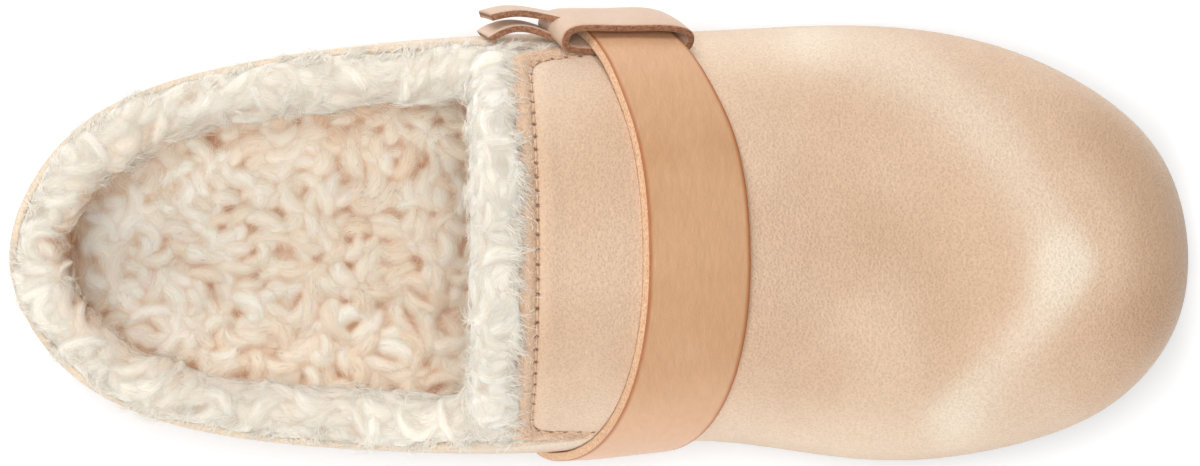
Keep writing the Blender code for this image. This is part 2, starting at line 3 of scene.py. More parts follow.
import bmesh
import bpy
import numpy as np
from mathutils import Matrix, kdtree


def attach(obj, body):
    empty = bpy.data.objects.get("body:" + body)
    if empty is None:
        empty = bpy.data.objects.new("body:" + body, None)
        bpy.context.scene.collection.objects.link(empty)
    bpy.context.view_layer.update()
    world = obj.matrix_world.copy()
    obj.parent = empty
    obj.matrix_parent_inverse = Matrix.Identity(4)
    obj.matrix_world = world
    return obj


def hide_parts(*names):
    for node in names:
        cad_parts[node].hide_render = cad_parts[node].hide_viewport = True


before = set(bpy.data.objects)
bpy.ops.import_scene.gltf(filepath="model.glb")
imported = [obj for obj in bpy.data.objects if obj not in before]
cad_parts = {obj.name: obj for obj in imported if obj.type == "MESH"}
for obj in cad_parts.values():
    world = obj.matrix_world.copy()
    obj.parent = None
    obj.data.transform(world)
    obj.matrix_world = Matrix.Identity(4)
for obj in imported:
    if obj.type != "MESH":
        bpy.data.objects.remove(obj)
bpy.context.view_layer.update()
print("frame:", ", ".join(sorted(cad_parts)))


# The last in millimetres: along from the back of the heel, across to the outer side, height from the floor
lastSizes = {
    "middle": (134.0, 3.6, 0.0),  # what lies at the frame's origin
    "wall": 2.0,
    "fitGap": 0.3,
    "featherTuck": 2.6,
    "featherTurn": math.radians(68),
    "wideRise": 0.2,  # share of a rib below the widest line
    "wideAboveFeather": 13.5,
    "length": 268.0,
    "heelHub": 46.0,
    "toeHub": 226.0,
    "toeSlope": -0.1,
    "throatAlong": 114.0,
    "throatBow": 2.2,
    "notchAlong": 137.0,
    "notchBend": 6.0,
    "rimJoinAlong": 110.0,
    "shoulderHeight": {1: 65.0, -1: 59.0},
    # along, across, how far the sole stays inside
    "outline": (
        (0.0, -1.4, 1.2),
        (4.0, 13.4, 1.2),
        (17.5, 29.5, 1.2),
        (44.0, 40.6, 1.2),
        (85.0, 47.2, 1.2),
        (125.0, 49.6, 1.4),
        (155.0, 50.0, 1.4),
        (188.0, 51.4, 1.2),
        (216.0, 48.9, 1.2),
        (237.0, 41.8, 1.2),
        (254.0, 30.8, 1.2),
        (264.2, 17.0, 1.0),
        (268.0, -1.8, 0.6),
        (264.6, -18.8, -0.3),
        (254.0, -32.6, -0.6),
        (237.0, -42.0, -0.6),
        (206.0, -48.0, 0.4),
        (180.0, -46.2, 1.2),
        (155.0, -43.6, 1.4),
        (125.0, -45.9, 1.4),
        (85.0, -45.8, 1.2),
        (44.0, -41.3, 1.2),
        (17.5, -31.0, 1.2),
        (4.0, -15.8, 1.2),
    ),
    # along, height, across, fullness of the ribs
    "ridge": (
        (46.0, 98.0, -0.5, 2.6),
        (85.0, 94.0, -1.0, 2.4),
        (114.0, 88.0, -1.5, 2.2),
        (152.0, 75.5, -2.0, 2.15),
        (188.0, 62.5, -1.5, 2.2),
        (212.0, 56.5, -1.0, 2.25),
        (226.0, 54.5, -1.0, 2.25),
    ),
    # along, height
    "feather": (
        (0.0, 20.5),
        (46.0, 19.5),
        (100.0, 17.5),
        (150.0, 15.0),
        (195.0, 14.0),
        (235.0, 15.5),
        (268.0, 19.5),
    ),
    "rim": ((0.0, 54.0), (25.0, 52.0), (60.0, 48.5), (100.0, 49.0), (122.0, 50.0), (137.0, 51.0)),
}
heelHub = lastSizes["heelHub"]
toeHub = lastSizes["toeHub"]
wideRise = lastSizes["wideRise"]


def unit(vectors):
    return vectors / np.maximum(np.linalg.norm(vectors, axis=-1, keepdims=True), 1e-12)


def squareTo(vectors, axis):
    return unit(vectors - axis * (vectors * axis).sum(-1, keepdims=True))


def arcAlong(points):
    return np.concatenate([[0], np.cumsum(np.linalg.norm(np.diff(points, axis=0), axis=1))])


def toFrame(points):
    return (np.asarray(points, float) - lastSizes["middle"]) * 0.001


def smoothCurve(knots, values):  # natural cubic through the values
    knots = np.asarray(knots, float)
    values = np.asarray(values, float).reshape(len(knots), -1)
    steps = np.diff(knots)
    system = np.eye(len(knots))
    bends = np.zeros_like(values)
    for i in range(1, len(steps)):
        system[i, i - 1 : i + 2] = steps[i - 1], 2 * (steps[i - 1] + steps[i]), steps[i]
        ahead = (values[i + 1] - values[i]) / steps[i]
        behind = (values[i] - values[i - 1]) / steps[i - 1]
        bends[i] = 6 * (ahead - behind)
    bends = np.linalg.solve(system, bends)

    def at(where):
        where = np.asarray(where, float)
        i = np.clip(np.searchsorted(knots, where) - 1, 0, len(steps) - 1)
        step = steps[i][..., None]
        left = (knots[i + 1] - where)[..., None] / step
        right = 1 - left
        curve = (left**3 - left) * bends[i] + (right**3 - right) * bends[i + 1]
        return left * values[i] + right * values[i + 1] + curve * step * step / 6

    return at


def curveOf(table):
    return smoothCurve([row[0] for row in table], [row[1:] for row in table])


def closedCurve(points):
    points = np.asarray(points, float)
    overlap = 4
    again = np.concatenate([points[-overlap:], points, points[: overlap + 1]])
    chords = np.linalg.norm(np.diff(again, axis=0), axis=1)
    knots = np.concatenate([[0], np.cumsum(np.sqrt(chords))])
    length = knots[overlap + len(points)] - knots[overlap]
    curve = smoothCurve((knots - knots[overlap]) / length, again)
    return lambda share: curve(np.mod(share, 1.0))


def openCurve(points):
    points = np.asarray(points, float)
    knots = arcAlong(points[:, :3])
    return smoothCurve(knots / knots[-1], points)


outlineRing = closedCurve(lastSizes["outline"])(np.linspace(0, 1, 2401))
ridgeCurve = curveOf(lastSizes["ridge"])
featherCurve = curveOf(lastSizes["feather"])
rimCurve = curveOf(lastSizes["rim"])


def featherAt(along):
    return featherCurve(np.clip(along, 0, lastSizes["length"]))[:, 0]


def sideWide(side, along):
    half = outlineRing[outlineRing[:, 1] * side > 0]
    half = half[np.argsort(half[:, 0])]
    return np.stack([along, *(np.interp(along, half[:, 0], half[:, i]) for i in (1, 2))], -1)


def fanWide(hub, angle):
    across = ridgeCurve(hub)[1]
    turned = np.arctan2(outlineRing[:, 1] - across, outlineRing[:, 0] - hub)
    order = np.argsort(turned)
    columns = [np.interp(angle, turned[order], outlineRing[order, i], period=2 * math.pi) for i in range(3)]
    return np.stack(columns, -1)


def walkOf(side, along):  # the walk goes 0 to 4: inner side, toe, outer side, heel
    share = (along - heelHub) / (toeHub - heelHub)
    return np.where(np.asarray(side) < 0, share, 3 - share)


def ribsAt(walk):
    walk = np.mod(np.asarray(walk, float), 4.0)
    stretch = walk.astype(int)
    share = walk - stretch
    ends = ((heelHub, toeHub), (toeHub, toeHub), (toeHub, heelHub), (heelHub, heelHub))
    along = np.empty(len(walk))
    wide = np.empty((len(walk), 3))
    for i, (first, last) in enumerate(ends):
        here = stretch == i
        along[here] = first + (last - first) * share[here]
        if first == last:
            wide[here] = fanWide(first, math.pi * (share[here] + i / 2 - 1))
        else:
            wide[here] = sideWide(i - 1, along[here])
    height, across, fullness = ridgeCurve(along).T
    feather = featherAt(wide[:, 0])
    crown = np.stack([along, across, height], -1)
    return {
        "wide": wide[:, :2],
        "soleInset": wide[:, 2:],
        "crown": crown,
        "fullness": fullness,
        "inward": unit(crown[:, :2] - wide[:, :2]),
        "feather": feather,
        "wideHeight": feather + lastSizes["wideAboveFeather"],
        "toe": stretch == 1,
    }


def skin(walk, rise):  # outside of the upper: rise 0 at the feather edge, 1 on the ridge
    rib = ribsAt(walk)
    rise = np.clip(rise, 0, 1)
    turn = lastSizes["featherTurn"] * (1 - np.minimum(rise / wideRise, 1))
    drop = np.sin(turn) / math.sin(lastSizes["featherTurn"])
    tuck = (1 - np.cos(turn)) / (1 - math.cos(lastSizes["featherTurn"]))
    lowPlan = rib["wide"] + rib["inward"] * (lastSizes["featherTuck"] * tuck)[:, None]
    lowHeight = rib["wideHeight"] - (lastSizes["wideAboveFeather"] - lastSizes["fitGap"]) * drop
    turn = 0.5 * math.pi * np.clip((rise - wideRise) / (1 - wideRise), 0, 1)
    out = np.maximum(np.cos(turn), 0) ** (2 / rib["fullness"])
    up = np.sin(turn) ** (2 / rib["fullness"])
    plan = rib["crown"][:, :2] + (rib["wide"] - rib["crown"][:, :2]) * out[:, None]
    height = rib["wideHeight"] + (rib["crown"][:, 2] - rib["wideHeight"]) * up
    height += rib["toe"] * lastSizes["toeSlope"] * (plan[:, 0] - toeHub) * (1 - out) ** 2
    low = rise < wideRise
    height = np.where(low, lowHeight, height)
    return np.concatenate([np.where(low[:, None], lowPlan, plan), height[:, None]], 1)


def outward(walk, rise):
    step = 1e-3
    onTop = rise > 1 - step
    rise = np.minimum(rise, 1 - step)
    up = skin(walk, rise + step) - skin(walk, rise - step)
    on = skin(walk + step, rise) - skin(walk - step, rise)
    normal = np.cross(on, up)
    normal[onTop, 1] = 0  # both sides agree on the ridge
    flat = np.linalg.norm(normal, axis=1) < 1e-9
    normal[flat] = (-lastSizes["toeSlope"], 0, 1)
    atHub = onTop & ribsAt(walk)["toe"]
    normal[atHub] = (-lastSizes["toeSlope"], 0, 1)
    return unit(normal)


def riseAt(walk, height):
    rib = ribsAt(walk)
    up = np.clip((height - rib["wideHeight"]) / (rib["crown"][:, 2] - rib["wideHeight"]), 0, 1)
    turn = np.arcsin(up ** (rib["fullness"] / 2))
    return wideRise + (1 - wideRise) * turn / (0.5 * math.pi)


def rimHeight(along):
    return rimCurve(np.clip(along, 0, lastSizes["notchAlong"]))[..., 0]


notchRise = float(riseAt([walkOf(1, lastSizes["notchAlong"])], rimHeight(lastSizes["notchAlong"]))[0])
shoulderRise = {
    side: float(riseAt([walkOf(side, lastSizes["throatAlong"])], height)[0])
    for side, height in lastSizes["shoulderHeight"].items()
}


def vampEdge(side, rise):  # rear edge of the vamp: over the instep, then forward into the notch
    shoulder = np.where(np.asarray(side) > 0, shoulderRise[1], shoulderRise[-1])
    up = np.clip((rise - notchRise) / (shoulder - notchRise), 0, 1)
    over = np.maximum((rise - shoulder) / (1 - shoulder), 0)
    bow = lastSizes["throatBow"] * np.sin(0.5 * math.pi * over)
    forward = (lastSizes["notchAlong"] - lastSizes["throatAlong"]) * (1 - up) ** lastSizes["notchBend"]
    return lastSizes["throatAlong"] + bow + forward


def rimRise(walk):
    along = ribsAt(walk)["wide"][:, 0]
    own = riseAt(walk, rimHeight(along))
    join = lastSizes["rimJoinAlong"]
    joined = np.clip((along - join) / (lastSizes["notchAlong"] - join), 0, 1) ** 2
    return own + (notchRise - own) * joined


def nearestIn(tree, points):
    found = [tree.find(p) for p in points]
    return np.array([f[1] for f in found]), np.array([f[2] for f in found])


def treeOf(points):
    tree = kdtree.KDTree(len(points))
    for i, point in enumerate(points):
        tree.insert(point, i)
    tree.balance()
    return tree


print("last: notch rise %.3f, shoulders %.3f and %.3f" % (notchRise, shoulderRise[1], shoulderRise[-1]))


# Node helpers

def addNode(tree, kind, inputs=None, **settings):
    made = tree.nodes.new(kind)
    for key, value in settings.items():
        setattr(made, key, value)
    for key, value in (inputs or {}).items():
        if isinstance(value, bpy.types.NodeSocket):
            tree.links.new(value, made.inputs[key])
        else:
            made.inputs[key].default_value = value
    return made


def feed(tree, node, inputs):
    for key, value in inputs.items():
        tree.links.new(value, node.inputs[key])


def mathNode(tree, operation, first, second=0.0, clamp=False):
    made = addNode(tree, "ShaderNodeMath", {0: first, 1: second}, operation=operation, use_clamp=clamp)
    return made.outputs[0]


def apartFrom(tree, first, second):
    return mathNode(tree, "ABSOLUTE", mathNode(tree, "SUBTRACT", first, second))


def mapRange(tree, value, fromLow, fromHigh, toLow=0.0, toHigh=1.0):
    inputs = {"Value": value, "From Min": fromLow, "From Max": fromHigh, "To Min": toLow, "To Max": toHigh}
    return addNode(tree, "ShaderNodeMapRange", inputs, interpolation_type="SMOOTHSTEP").outputs[0]


def mixColour(tree, factor, first, second, blend="MIX"):
    first, second = ((*colour, 1) if isinstance(colour, tuple) else colour for colour in (first, second))
    inputs = {0: factor, 6: first, 7: second}
    return addNode(tree, "ShaderNodeMix", inputs, data_type="RGBA", blend_type=blend).outputs[2]


def noise(tree, vector, scale, detail=2.0, roughness=0.5):
    inputs = {"Vector": vector, "Scale": scale, "Detail": detail, "Roughness": roughness}
    return addNode(tree, "ShaderNodeTexNoise", inputs).outputs["Fac"]


def ramp(tree, value, *stops):
    made = addNode(tree, "ShaderNodeValToRGB", {"Fac": value})
    while len(made.color_ramp.elements) < len(stops):
        made.color_ramp.elements.new(0.5)
    for element, (place, colour) in zip(made.color_ramp.elements, stops):
        element.position = place
        element.color = (*colour, 1)
    return made.outputs["Color"]


def srgb(red, green, blue):
    return tuple(((c / 255 + 0.055) / 1.055) ** 2.4 for c in (red, green, blue))


def newMaterial(name, shaderValues):
    material = bpy.data.materials.new(name)
    material.use_nodes = True
    shader = material.node_tree.nodes["Principled BSDF"]
    for key, value in shaderValues.items():
        shader.inputs[key].default_value = value
    return material, material.node_tree, shader


def newGroup(name, values, outputs):  # reads a vector and some values
    tree = bpy.data.node_groups.new(name, "ShaderNodeTree")
    tree.interface.new_socket("Vector", in_out="INPUT", socket_type="NodeSocketVector")
    for title in values:
        tree.interface.new_socket(title, in_out="INPUT", socket_type="NodeSocketFloat")
    for title in outputs:
        tree.interface.new_socket(title, in_out="OUTPUT", socket_type="NodeSocketFloat")
    return tree, addNode(tree, "NodeGroupInput"), addNode(tree, "NodeGroupOutput")


def makeGrainGroup():  # pebbled grain with fine flecks, and slow drifts of tone
    scales = ("Pebble Scale", "Fleck Scale", "Drift Scale")
    tree, given, out = newGroup("hideGrain", scales, ("Height", "Fleck", "Drift"))
    vector = given.outputs["Vector"]
    pebble = addNode(tree, "ShaderNodeTexVoronoi", {"Vector": vector, "Scale": given.outputs["Pebble Scale"]})
    rough = noise(tree, vector, given.outputs["Fleck Scale"], 3.0, 0.65)
    pebbleHeight = mathNode(tree, "MULTIPLY", pebble.outputs["Distance"], 0.6)
    height = mathNode(tree, "ADD", pebbleHeight, mathNode(tree, "MULTIPLY", rough, 0.8))
    drift = noise(tree, vector, given.outputs["Drift Scale"], 3.0)
    feed(tree, out, {"Height": height, "Fleck": rough, "Drift": drift})
    return tree


def makeFibreGroup():  # fine lines that run along a strand or a cut edge
    tree, given, out = newGroup("fibreLines", ("Line Scale", "Stretch"), ("Line", "Clump"))
    parts = addNode(tree, "ShaderNodeSeparateXYZ", {0: given.outputs["Vector"]})
    along = mathNode(tree, "MULTIPLY", parts.outputs[1], given.outputs["Stretch"])
    inputs = {0: parts.outputs[0], 1: along, 2: parts.outputs[2]}
    stretched = addNode(tree, "ShaderNodeCombineXYZ", inputs).outputs[0]
    line = noise(tree, stretched, given.outputs["Line Scale"], 2.0, 0.6)
    clumpScale = mathNode(tree, "MULTIPLY", given.outputs["Line Scale"], 0.3)
    feed(tree, out, {"Line": line, "Clump": noise(tree, stretched, clumpScale, 1.0)})
    return tree


grainGroup = makeGrainGroup()
fibreGroup = makeFibreGroup()


def objectPlace(tree):
    return addNode(tree, "ShaderNodeTexCoord").outputs["Object"]


def placeGroup(tree, group, inputs):
    return addNode(tree, "ShaderNodeGroup", inputs, node_tree=group)


def attributeParts(tree, name):  # the three values of a vector attribute
    vector = addNode(tree, "ShaderNodeAttribute", attribute_name=name).outputs["Vector"]
    return addNode(tree, "ShaderNodeSeparateXYZ", {0: vector}).outputs


def bumpTo(tree, shader, height, strength, distance):
    bump = addNode(tree, "ShaderNodeBump", {"Height": height, "Strength": strength, "Distance": distance})
    feed(tree, shader, {"Normal": bump.outputs["Normal"]})


# Mesh helpers

def gridOver(bm, columns, rows, place, layers=()):
    # a flat grid, carried to its place on the shoe by column and row; place also gives a value for each layer
    made = bmesh.ops.create_grid(bm, x_segments=columns, y_segments=rows, size=0.5)["verts"]
    flat = np.array([v.co[:2] for v in made]) + 0.5
    column = np.rint(flat[:, 0] * columns).astype(int)
    row = np.rint(flat[:, 1] * rows).astype(int)
    placed = place(column, row)
    points, *values = placed if layers else [placed]
    for vert, point in zip(made, toFrame(points)):
        vert.co = point
    for layer, own in zip(layers, values):
        for vert, value in zip(made, own):
            vert[layer] = value
    return made, column, row


def closeEnds(bm):
    openEdges = [e for e in bm.edges if e.is_boundary]
    bmesh.ops.edgeloop_fill(bm, edges=openEdges)


def finishPiece(name, bm, materials, nodes=(), merge=2e-5):
    bmesh.ops.remove_doubles(bm, verts=bm.verts, dist=merge)
    bmesh.ops.dissolve_degenerate(bm, edges=bm.edges, dist=1e-7)
    bmesh.ops.recalc_face_normals(bm, faces=bm.faces)
    mesh = bpy.data.meshes.new(name)
    bm.to_mesh(mesh)
    bm.free()
    mesh.shade_smooth()
    return placePiece(name, mesh, materials, nodes)


def placePiece(name, mesh, materials, nodes=()):
    for material in materials:
        mesh.materials.append(material)
    piece = bpy.data.objects.new(name, mesh)
    bpy.context.scene.collection.objects.link(piece)
    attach(piece, "root")
    if nodes:
        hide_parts(*nodes)
    print("%s: %d faces" % (name, len(mesh.polygons)))
    return piece


# Suede upper

upperSizes = {
    "hemColumns": 30,
    "hemReach": 12.0,
    "frontColumns": 44,
    "toeColumns": 64,
    "backColumns": (46, 60),  # each side, heel
    "featherRows": 7,
    "wallRows": 9,
    "shoulderRows": 40,
    "topRows": 48,
    "stitchLine": 4.2,  # from the folded edge
    "stitchPitch": 3.3,
    "stitchCorner": 8.5,
    "rimHighlight": 0.8,  # painted highlight towards the rim of the back
    "rimHighlightReach": 10.0,
    # from the folded edge, spread, raise
    "hem": ((1.9, 1.3, 0.7), (4.2, 0.8, -0.6), (7.6, 2.2, 0.35)),
    "hemFade": (122.0, 131.0),
    "hemSearch": 30.0,  # how far from its edge the vamp may carry the hem
    "offHem": 40.0,  # written where there is no hem
    "pucker": 0.25,
    "seamSearch": 34.0,
    "searchSteps": 140,
    "edgeSteps": 260,
    "aboveNotch": 0.004,
    "seamEnd": 140.0,
    "seamStep": 0.25,
    "foldFade": (34.0, 48.0),  # heights over which folds and the painted light and shade set in
    "napFade": (22.0, 36.0),
    # soft folds over the vamp: plan points (along, across) of each, then spread and raise
    "folds": (
        (((186.0, 38.0), (214.0, 26.0), (229.0, 9.0), (233.0, -10.0), (214.0, -33.0)), 12.0, 0.9),
        (((177.0, 30.0), (184.0, 10.0), (184.5, -12.0), (178.0, -33.0)), 9.0, -0.5),
        (((134.0, 28.0), (137.0, 2.0), (133.0, -24.0)), 8.0, 0.5),
        (((203.0, 4.0), (211.0, -12.0), (214.0, -26.0)), 9.0, -0.35),
    ),
    # painted highlight (strength above zero) and painted shade (below zero) on the suede: plan points of each
    # stroke, then spread and strength
    "paintedStrokes": (
        (
            ((184.0, 47.0), (202.0, 42.0), (216.0, 32.0), (226.0, 22.0), (236.0, 6.0), (239.0, -3.0)),
            10.0,
            0.55,
        ),
        (((239.0, -3.0), (234.0, -14.0), (225.0, -23.0), (218.0, -31.0), (214.0, -37.0)), 7.0, 0.6),
        (((122.0, 40.0), (150.0, 45.0), (178.0, 49.0)), 9.0, 0.35),
        (((136.0, -36.0), (165.0, -39.0), (200.0, -44.0), (236.0, -36.0)), 10.0, 0.4),
        (((249.0, 25.0), (258.0, 12.0), (260.5, -1.0), (258.0, -13.0)), 14.0, -0.58),
        (((196.0, 4.0), (207.0, -8.0), (213.0, -19.0)), 11.0, -0.3),
        (((128.0, 16.0), (129.0, -2.0), (126.0, -22.0)), 10.0, -0.18),
    ),
}
vampLength = toeHub - lastSizes["throatAlong"]
hemSteps = np.linspace(0, upperSizes["hemReach"], upperSizes["hemColumns"] + 1)
frontShares = np.linspace(0, 1, upperSizes["frontColumns"] + 1)[1:-1] ** 1.1
fromEdge = np.concatenate([hemSteps, hemSteps[-1] + (vampLength - hemSteps[-1]) * frontShares])
toeWalks = np.linspace(1, 2, upperSizes["toeColumns"] + 1)
lowRows = np.concatenate([
    np.linspace(0, wideRise, upperSizes["featherRows"] + 1),
    np.linspace(wideRise, notchRise, upperSizes["wallRows"] + 1)[1:],
])
shoulderRows = np.linspace(0, 1, upperSizes["shoulderRows"] + 1)[1:] ** 1.3
highRows = np.concatenate([
    notchRise + (shoulderRise[1] - notchRise) * shoulderRows,
    np.linspace(shoulderRise[1], 1, upperSizes["topRows"] + 1)[1:],
])
vampRows = np.concatenate([lowRows, highRows])
edgeRises = np.linspace(notchRise, 1, upperSizes["edgeSteps"])
edgeLine = np.concatenate([
    skin(walkOf(-1, vampEdge(-1, edgeRises)), edgeRises),
    skin(walkOf(1, vampEdge(1, edgeRises)), edgeRises)[::-1],
])
edgeTree = treeOf(edgeLine)


def onSides(places):  # walk and rise from along and from the way below the ridge, plus on the outer side
    return walkOf(np.where(places[:, 1] < 0, -1, 1), places[:, 0]), 1 - np.abs(places[:, 1])


def stitchPath():  # where the vamp lies one stitch line away from its folded edge
    reach = np.linspace(0, upperSizes["seamSearch"], upperSizes["searchSteps"])
    sides = []
    for side in (-1, 1):
        points = []
        for rise in np.linspace(notchRise + upperSizes["aboveNotch"], 1, upperSizes["edgeSteps"]):
            along = vampEdge(side, rise) + reach
            row = skin(walkOf(side, along), np.full(len(reach), rise))
            away = nearestIn(edgeTree, row)[1]
            past = int(np.argmax(away > upperSizes["stitchLine"]))
            if past and along[past] < upperSizes["seamEnd"]:
                share = (upperSizes["stitchLine"] - away[past - 1]) / (away[past] - away[past - 1])
                where = along[past - 1] + share * (along[past] - along[past - 1])
                points.append((where, side * (1 - rise)))
        sides.append(points)
    found = np.array(sides[0] + sides[1][::-1])
    arc = arcAlong(skin(*onSides(found)))
    even = np.arange(0, arc[-1], upperSizes["seamStep"])
    spread = int(upperSizes["stitchCorner"] / upperSizes["seamStep"])
    rounded = []
    for values in found.T:
        padded = np.pad(np.interp(even, arc, values), spread, mode="reflect", reflect_type="odd")
        for _ in range(2):
            padded = np.convolve(padded, np.ones(spread) / spread, mode="same")
        rounded.append(padded[spread:-spread])
    return np.stack(onSides(np.stack(rounded, -1)), -1)


seamPlaces = stitchPath()
seamLine = skin(seamPlaces[:, 0], seamPlaces[:, 1])
seamArc = arcAlong(seamLine)
seamTree = treeOf(seamLine)
seamAway = nearestIn(edgeTree, seamLine)[1]
print("seam: %.0f mm, %d places" % (seamArc[-1], len(seamPlaces)))


def bell(distance, spread):
    return np.exp(-((distance / spread) ** 2))


def strokesOver(points, strokes):  # sum of soft strokes drawn in plan
    total = np.zeros(len(points))
    for route, spread, strength in strokes:
        line = openCurve(np.array(route))(np.linspace(0, 1, 40))
        away = np.linalg.norm(points[:, None, :2] - line[None], axis=2).min(axis=1)
        total += strength * bell(away, spread)
    return total


def foldRaise(points):
    return strokesOver(points, upperSizes["folds"]) * np.interp(points[:, 2], upperSizes["foldFade"], (0, 1))


def vampShape(walk, rise, hemmed):  # a point of the vamp with its hem and folds, and its place along the hem
    points = skin(walk, rise)
    lift = foldRaise(points)
    near = np.where(hemmed & (rise > notchRise - 0.02))[0]
    hemUv = np.tile((0.0, upperSizes["offHem"]), (len(points), 1))
    away = nearestIn(edgeTree, points[near])[1]
    spot, apart = nearestIn(seamTree, points[near])
    place = upperSizes["stitchLine"] + np.where(away > seamAway[spot], apart, -apart)
    fade = np.interp(points[near, 0], upperSizes["hemFade"], (1, 0))
    pucker = 1 + upperSizes["pucker"] * np.cos(2 * math.pi * seamArc[spot] / upperSizes["stitchPitch"])
    measures = ((away, 1), (place, pucker), (place, 1))
    for (measure, waves), (middle, spread, height) in zip(measures, upperSizes["hem"]):
        lift[near] += fade * height * bell(measure - middle, spread) * waves
    hemUv[near] = np.stack([seamArc[spot], place], -1)
    return points + outward(walk, rise) * lift[:, None], hemUv


def makeUpper(materials):
    bm = bmesh.new()
    # hemPlace carries the place along the hem, the way from the folded edge, and the painted light and shade
    # of the suede
    hemLayer = bm.verts.layers.float_vector.new("hemPlace")
    sides = np.concatenate([np.full(len(fromEdge), -1), np.zeros(len(toeWalks)), np.full(len(fromEdge), 1)])
    steps = np.concatenate([fromEdge, toeWalks, fromEdge[::-1]])

    def vampPlace(column, row):
        side = sides[column]
        rise = vampRows[row]
        rear = vampEdge(side, rise)
        along = rear + steps[column] / vampLength * (toeHub - rear)
        walk = np.where(side == 0, steps[column], walkOf(side, along))
        points, hemUv = vampShape(walk, rise, (side != 0) & (steps[column] < upperSizes["hemSearch"]))
        # painted highlight and painted shade from the strokes, setting in with height
        nap = strokesOver(points, upperSizes["paintedStrokes"]) * np.interp(points[:, 2], upperSizes["napFade"], (0, 1))
        return points, np.concatenate([hemUv, nap[:, None]], 1)

    gridOver(bm, len(sides) - 1, len(vampRows) - 1, vampPlace, [hemLayer])
    sideCount, heelCount = upperSizes["backColumns"]
    backWalks = np.concatenate([
        np.linspace(walkOf(1, lastSizes["notchAlong"]), 3, sideCount + 1),
        np.linspace(3, 4, heelCount + 1)[1:-1],
        np.linspace(4, 4 + walkOf(-1, lastSizes["notchAlong"]), sideCount + 1),
    ])

    def backPlace(column, row):
        walk = backWalks[column]
        rims = rimRise(walk)
        lows = lowRows[row]
        above = wideRise + (rims - wideRise) * (lows - wideRise) / (notchRise - wideRise)
        points = skin(walk, np.where(lows < wideRise, lows, above))
        # painted highlight along the rim of the back
        nap = upperSizes["rimHighlight"] * bell(rimHeight(points[:, 0]) - points[:, 2], upperSizes["rimHighlightReach"])
        return points, np.stack([np.zeros(len(nap)), np.full(len(nap), upperSizes["offHem"]), nap], -1)

    gridOver(bm, len(backWalks) - 1, len(lowRows) - 1, backPlace, [hemLayer])
    piece = finishPiece("suedeUpper", bm, materials, ["upper"], merge=4e-5)
    wall = piece.modifiers.new("wall", "SOLIDIFY")
    wall.thickness = lastSizes["wall"] * 0.001
    wall.offset = -1
    wall.material_offset = 1
    wall.material_offset_rim = 0
    return piece


def makeSuede():
    look = {
        "pale": srgb(219, 190, 163),
        "deep": srgb(211, 178, 150),
        "paintedHighlight": srgb(232, 215, 193),
        "shaded": srgb(186, 147, 114),
        "hem": srgb(221, 188, 158),
        # the hole colour is painted shade in the stitch holes
        "hole": srgb(140, 96, 70),
        "grain": {"Pebble Scale": 1400, "Fleck Scale": 2400, "Drift Scale": 28},
        "pebbleShadeRange": (0.95, 1.065),
        "speckGlintRange": (1.0, 1.14),
        "hemMask": (4.9, 3.4),
        "holeSize": (0.7, 0.3),
        "holeDepth": 2.0,
    }
    values = {"Sheen Weight": 0.5, "Sheen Roughness": 0.4, "Sheen Tint": (1.0, 0.96, 0.9, 1)}
    material, tree, shader = newMaterial("suede", {**values, "IOR": 1.4, "Specular IOR Level": 0.25})
    grain = placeGroup(tree, grainGroup, {"Vector": objectPlace(tree), **look["grain"]})
    alongHem, fromFold, nap = attributeParts(tree, "hemPlace")
    drift = mapRange(tree, grain.outputs["Drift"], 0.35, 0.68)
    body = mixColour(tree, drift, look["deep"], look["pale"])
    # painted highlight where the strokes lie above zero, painted shade where they lie below
    body = mixColour(tree, mapRange(tree, nap, 0.0, 1.0), body, look["paintedHighlight"])
    body = mixColour(tree, mapRange(tree, nap, 0.0, -1.0), body, look["shaded"])
    # painted shading of the grain: paler pebble tops, deeper hollows; then bright specks, a painted glint
    pebbleShading = mapRange(tree, grain.outputs["Height"], 0.45, 0.85, *look["pebbleShadeRange"])
    body = mixColour(tree, 1.0, body, pebbleShading, "MULTIPLY")
    speckGlint = mapRange(tree, grain.outputs["Fleck"], 0.55, 0.72, *look["speckGlintRange"])
    body = mixColour(tree, 1.0, body, speckGlint, "MULTIPLY")
    body = mixColour(tree, mapRange(tree, fromFold, *look["hemMask"]), body, look["hem"])
    # stitch holes: painted shade in each hole, and a sunk bump
    pitch = upperSizes["stitchPitch"]
    turn = mathNode(tree, "FRACT", mathNode(tree, "DIVIDE", alongHem, pitch))
    besideHole = mathNode(tree, "MULTIPLY", apartFrom(tree, turn, 0.5), pitch)
    offLine = apartFrom(tree, fromFold, upperSizes["stitchLine"])
    squares = [mathNode(tree, "POWER", way, 2.0) for way in (besideHole, offLine)]
    apart = mathNode(tree, "SQRT", mathNode(tree, "ADD", *squares))
    hole = mapRange(tree, apart, *look["holeSize"])
    body = mixColour(tree, hole, body, look["hole"])
    rough = mapRange(tree, grain.outputs["Fleck"], 0.3, 0.7, 0.95, 0.75)
    feed(tree, shader, {"Base Color": body, "Roughness": rough})
    sunk = mathNode(tree, "MULTIPLY", hole, look["holeDepth"])
    height = mathNode(tree, "SUBTRACT", grain.outputs["Height"], sunk)
    bumpTo(tree, shader, height, 0.65, 0.0005)
    return material


def makeFelt(name, look):
    values = {"Roughness": 0.95, "Sheen Weight": look["sheen"], "Sheen Roughness": 0.4}
    material, tree, shader = newMaterial(name, values)
    felt = noise(tree, objectPlace(tree), look["scale"], 3.0, 0.6)
    tone = ramp(tree, felt, (0.35, look["deep"]), (look["paleFrom"], look["pale"]))
    feed(tree, shader, {"Base Color": tone})
    bumpTo(tree, shader, felt, 0.9, look["relief"])
    return material


